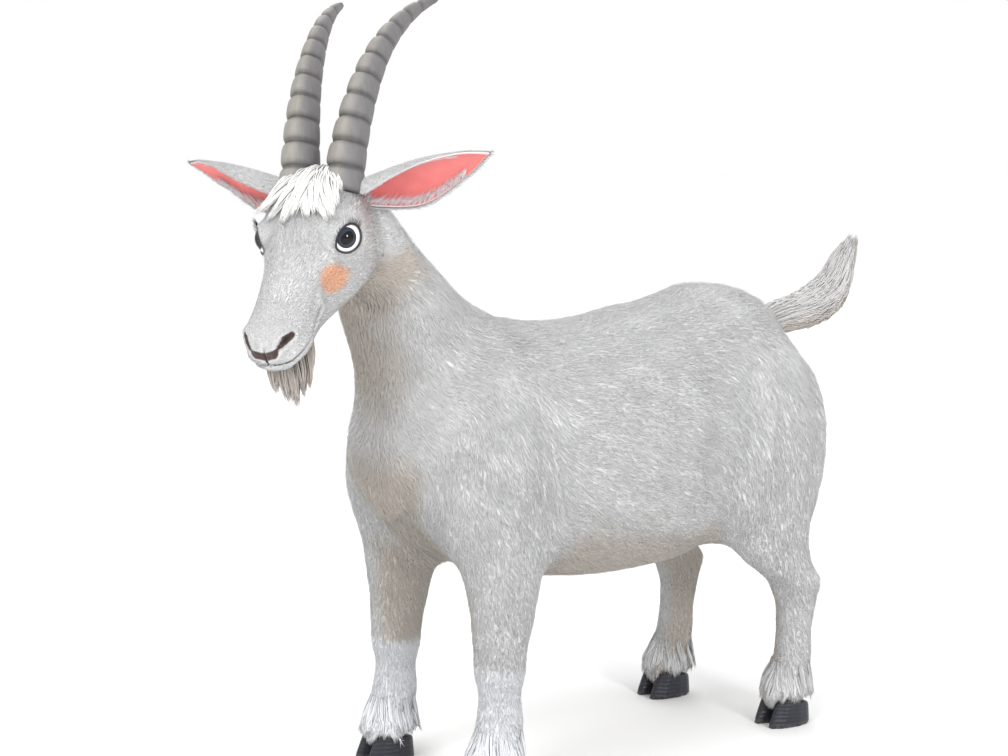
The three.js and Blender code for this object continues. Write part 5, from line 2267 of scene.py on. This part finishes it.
@dataclass
class Hooves:
    """Cloven hooves and dewclaws with rounded walls."""

    nodes: dict[str, bpy.types.Object]
    voxel: float = 0.0012
    claws: tuple[str, ...] = ("hoof_outer", "hoof_inner", "dewclaw_outer", "dewclaw_inner")

    def build(self, material: Material) -> None:
        """Makes the hooves and dewclaws of each foot, flat where they stand.

        Args:
            material: Their material.
        """
        for leg in LEG_NAMES:
            names = [f"{leg}_{claw}" for claw in self.claws]
            bm = bmesh.new()
            for name in names:
                add_node(bm, self.nodes[name], 0.0)
            mesh = remeshed(as_mesh(bm, "claws"), self.voxel)
            points = points_of(mesh)
            keep = smooth(points[:, 2], 0.003, 0.0015)
            soft = spread(points, edges_of(mesh), 16)
            move_points(mesh, points + (soft - points) * (1 - keep)[:, None])
            round_off(mesh, 4, keep)
            new_piece(f"{leg}_claws", mesh, material, tuple(names))


@dataclass
class Eyes:
    """Eyeballs with a level pupil, the lids' dark edges round them and their lashes."""

    head: HeadFrame
    ball: float = 17.3
    iris: float = 10.0
    bulge: float = 1.0
    pupil: tuple[float, float] = (6.6, 4.8)
    corners: float = 2.4  # how square the pupil is: 2 is an ellipse
    gaze: Triple = (-0.56, 0.735, 0.38)
    lashes: int = 64
    lash: float = 7.5
    lash_half: float = 0.17
    lid_stretches: tuple[float, ...] = (0.97, 0.985, 1.01, 1.045, 1.085, 1.13, 1.2)
    lid_heights: tuple[float, ...] = (0.15, 0.9, 1.7, 2.0, 1.7, 0.7, -0.8)
    lid_edge: tuple[float, ...] = (1.0, 1.0, 1.0, 1.0, 0.85, 0.4, 0.0)

    def build(self, eye: Material, lid: Material, lash: Material) -> None:
        """Makes both eyes.

        Args:
            eye: The eyeball's material.
            lid: The lids' material.
            lash: The lashes' material.
        """
        for side, word in SIDES:
            self._ball(side, f"eye_{word}", eye)
            self._lids(side, f"lids_{word}", lid)
            self._lashes(side, f"lashes_{word}", lash)

    def _over(self, side: int, a: Array, b: Array) -> Array:
        """Ways from an eye's centre to places on its ball.

        Args:
            side: LEFT or RIGHT.
            a: Millimetres forwards over the ball.
            b: Millimetres upwards.

        Returns:
            Directions in the head's frame.
        """
        forward, up, look = self.head.eye_axes(side)
        reach = np.minimum(np.hypot(a, b) / self.head.ball, 1.45)[:, None]
        bearing = np.arctan2(b, a)[:, None]
        flat = np.cos(bearing) * forward + np.sin(bearing) * up
        return np.cos(reach) * look + np.sin(reach) * flat

    def _ball(self, side: int, node: str, material: Material) -> None:
        """Makes one eyeball with its bulging cornea.

        Args:
            side: LEFT or RIGHT.
            node: The CAD node that it replaces.
            material: Its material.
        """
        bm = bmesh.new()
        bmesh.ops.create_icosphere(bm, subdivisions=5, radius=1.0)
        way = np.array([v.co[:] for v in bm.verts])
        look = unit(on_side(self.gaze, side))
        level = flat_on(np.array([-1.0, 0.0, 0.1]), look)
        ahead = way @ look
        radial = np.arccos(np.clip(ahead, -1, 1)) * self.ball
        bulge = self.bulge * smooth(radial, self.iris * 1.15, 0.0)
        local = self.head.eye_at(side) + way * (self.ball + bulge)[:, None]
        for v, p in zip(bm.verts, self.head.world(local)):
            v.co = p
        u, w = way @ level * self.ball, way @ np.cross(look, level) * self.ball
        long, tall = np.abs(u) / self.pupil[0], np.abs(w) / self.pupil[1]
        pupil = (long**self.corners + tall**self.corners) ** (1 / self.corners)
        pupil = np.where(ahead > 0, pupil, 9.0)
        spoke = np.arctan2(w, u) / TURN + 0.5
        mesh = finished(bm, node)
        write_values(mesh, "eye_marks", np.stack([radial / self.iris, pupil, spoke], 1))
        new_piece(f"{node}_ball", mesh, material, (node,))

    def _lids(self, side: int, name: str, material: Material) -> None:
        """Makes the lids' edges: a rounded band that follows the opening over the eyeball.

        Args:
            side: LEFT or RIGHT.
            name: The piece's name.
            material: Its material.
        """
        a, b = self.head.face.outline(np.linspace(0, TURN, 72, endpoint=False))
        rings = []
        for stretch, height in zip(self.lid_stretches, self.lid_heights):
            way = self._over(side, a * stretch, b * (1 + (stretch - 1) * 1.3))
            rings.append(self.head.world(self.head.eye_at(side) + way * (self.head.ball + height)))
        bm = bmesh.new()
        rows = loft(bm, np.array(rings), False)
        edge = np.repeat(np.array(self.lid_edge)[:, None], len(a), axis=1)
        marks = by_ring(bm, rows, edge)
        mesh = finished(bm, name)
        write_values(mesh, "edge", marks)
        centre = self.head.world(self.head.eye_at(side))
        if np.sum((points_of(mesh) - centre) * normals_of(mesh)) < 0:
            mesh.flip_normals()
        piece = new_piece(name, mesh, material)
        wall = {"thickness": 0.0006, "offset": -1.0}
        add_modifiers(piece, ("SOLIDIFY", wall), ("SUBSURF", {"levels": 1, "render_levels": 1}))

    def _lashes(self, side: int, name: str, material: Material) -> None:
        """Makes the fringe of lashes on an upper lid.

        Args:
            side: LEFT or RIGHT.
            name: The piece's name.
            material: Its material.
        """
        count = self.lashes
        draw = np.random.default_rng(SEED + 7 + side)
        forward, up, _ = self.head.eye_axes(side)
        turn = np.linspace(0.08, 0.92, count) * math.pi + draw.normal(0, 0.02, count)
        a, b = self.head.face.outline(turn)
        way = self._over(side, a * 1.04, b * 1.05)
        size = self.lash * np.sin(turn) ** 0.4 * draw.uniform(0.75, 1.1, count)
        t = np.linspace(0, 1, 5)[None, :, None]
        fan = 0.45 * np.cos(turn) + draw.normal(0, 0.06, count)
        out = way * 0.75 + forward * fan[:, None]
        line = way[:, None] * (self.head.ball + 1.3)
        line = line + (out[:, None] * t + up * 0.65 * t**1.8) * size[:, None, None]
        path = self.head.world(self.head.eye_at(side) + line)
        taper = self.lash_half * MM * (1 - t[..., 0] ** 2)
        half = taper * draw.uniform(0.8, 1.2, (count, 1))
        face = np.tile(self.head.aim(up), (count, 1))
        place = np.stack([np.linspace(0.05, 0.95, count), np.full(count, 0.5)], 1)
        strands = Strands(path, face, half, half, place, {"tone": draw.random(count)})
        new_piece(name, strands.mesh(name), material)


# ---------------------------------------------------------------- studio


@dataclass(frozen=True)
class Lamp:
    """A round soft light: where it stands as seen from the goat, its size and its power."""

    name: str
    azimuth: float
    elevation: float
    away: float
    size: float
    power: float


def towards(azimuth: float, elevation: float) -> Vector:
    """The direction from the goat to a place seen under two angles."""
    a, e = math.radians(azimuth), math.radians(elevation)
    return Vector((math.sin(a) * math.cos(e), -math.cos(a) * math.cos(e), math.sin(e)))


def placed(name: str, data: bpy.types.ID) -> bpy.types.Object:
    """Puts a new object with some data in the scene.

    Args:
        name: The object's name.
        data: Its mesh, light or camera.

    Returns:
        The object.
    """
    thing = bpy.data.objects.new(name, data)
    bpy.context.scene.collection.objects.link(thing)
    return thing


@dataclass
class Studio:
    """Pale floor, soft lights and the camera."""

    azimuth: float = -36.0
    elevation: float = 8.0
    distance: float = 1.9647
    lens: float = 70.0
    target: Triple = (-0.0854, 0.0, 0.3962)
    lit: Triple = (0.0, 0.0, 0.4)  # what the lamps look at
    floor: float = 12.0
    lamps: tuple[Lamp, ...] = (
        Lamp("key", -74.0, 46.0, 3.4, 2.0, 56.0),
        Lamp("catch", -2.0, 17.0, 2.6, 0.62, 30.0),
        Lamp("back", 150.0, 48.0, 3.4, 2.2, 30.0),
    )

    def build(self) -> None:
        """Makes floor, lights, world and camera."""
        self._floor()
        self._camera()
        for lamp in self.lamps:
            self._light(lamp)
        scene = bpy.context.scene
        scene.world = bpy.data.worlds.new("studio")
        scene.world.use_nodes = True
        background = scene.world.node_tree.nodes["Background"]
        background.inputs["Color"].default_value = (1.0, 1.0, 1.0, 1.0)
        background.inputs["Strength"].default_value = 1.0
        scene.view_settings.view_transform = "Standard"

    def _floor(self) -> None:
        """A pale floor, a little darker under the lamps, so that it looks even out to its edge."""
        bm = bmesh.new()
        bmesh.ops.create_grid(bm, x_segments=1, y_segments=1, size=self.floor)
        mesh = as_mesh(bm, "floor")
        f = Finish("studio_floor", Roughness=0.85, Specular_IOR_Level=0.1)
        far = f.node("ShaderNodeVectorMath", {"operation": "LENGTH"}, {0: f.place()}, "Value")
        white = paint("#ffffff")
        mesh.materials.append(f.feed(Base_Color=f.shade(white, 0.85 + 0.15 * far.step(0.6, 3.4))))
        placed("floor", mesh)

    def _light(self, lamp: Lamp) -> None:
        """Adds a light that looks at the goat.

        Args:
            lamp: What it is like.
        """
        data = bpy.data.lights.new(lamp.name, "AREA")
        data.shape = "DISK"
        data.size = lamp.size
        data.energy = lamp.power
        light = placed(lamp.name, data)
        way = towards(lamp.azimuth, lamp.elevation)
        light.location = Vector(self.lit) + way * lamp.away
        light.rotation_euler = way.to_track_quat("Z", "Y").to_euler()

    def _camera(self) -> None:
        """Sets the camera at the goat's left front quarter."""
        data = bpy.data.cameras.new("camera")
        data.lens = self.lens
        camera = placed("camera", data)
        way = towards(self.azimuth, self.elevation)
        camera.location = Vector(self.target) + way * self.distance
        camera.rotation_euler = way.to_track_quat("Z", "Y").to_euler()
        bpy.context.scene.camera = camera


# ---------------------------------------------------------------- the goat


def main() -> None:
    """Builds the goat piece by piece."""
    logging.basicConfig(level=logging.INFO, format="%(message)s")
    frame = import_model()
    nodes = frame["nodes"]
    head = HeadFrame()
    tail = Tail(head)
    coat = CoatFinish().make()
    Studio().build()
    ground = Skin(nodes, head, tail).build(coat)
    Coat(ground, head).build(coat)
    tail.build(coat)
    Fetlocks().build(coat, ground)
    # Each hair finish's second colour, at the root, is painted shade.
    Beard(head).build(HairFinish("beard_hair", "#c0b8b1", "#928a83").make())
    Forelock(head).build(HairFinish("forelock_hair", "#fbfbf9", "#d9d8d6").make())
    Horns(head).build(HornFinish().make())
    Ears(head).build(EarFinish().make(), coat)
    Hooves(nodes).build(HoofFinish().make())
    lash = HairFinish("lash_hair", "#3a3638", "#262326").make()
    Eyes(head).build(EyeFinish().make(), LidFinish().make(), lash)


if __name__ == "__main__":
    main()
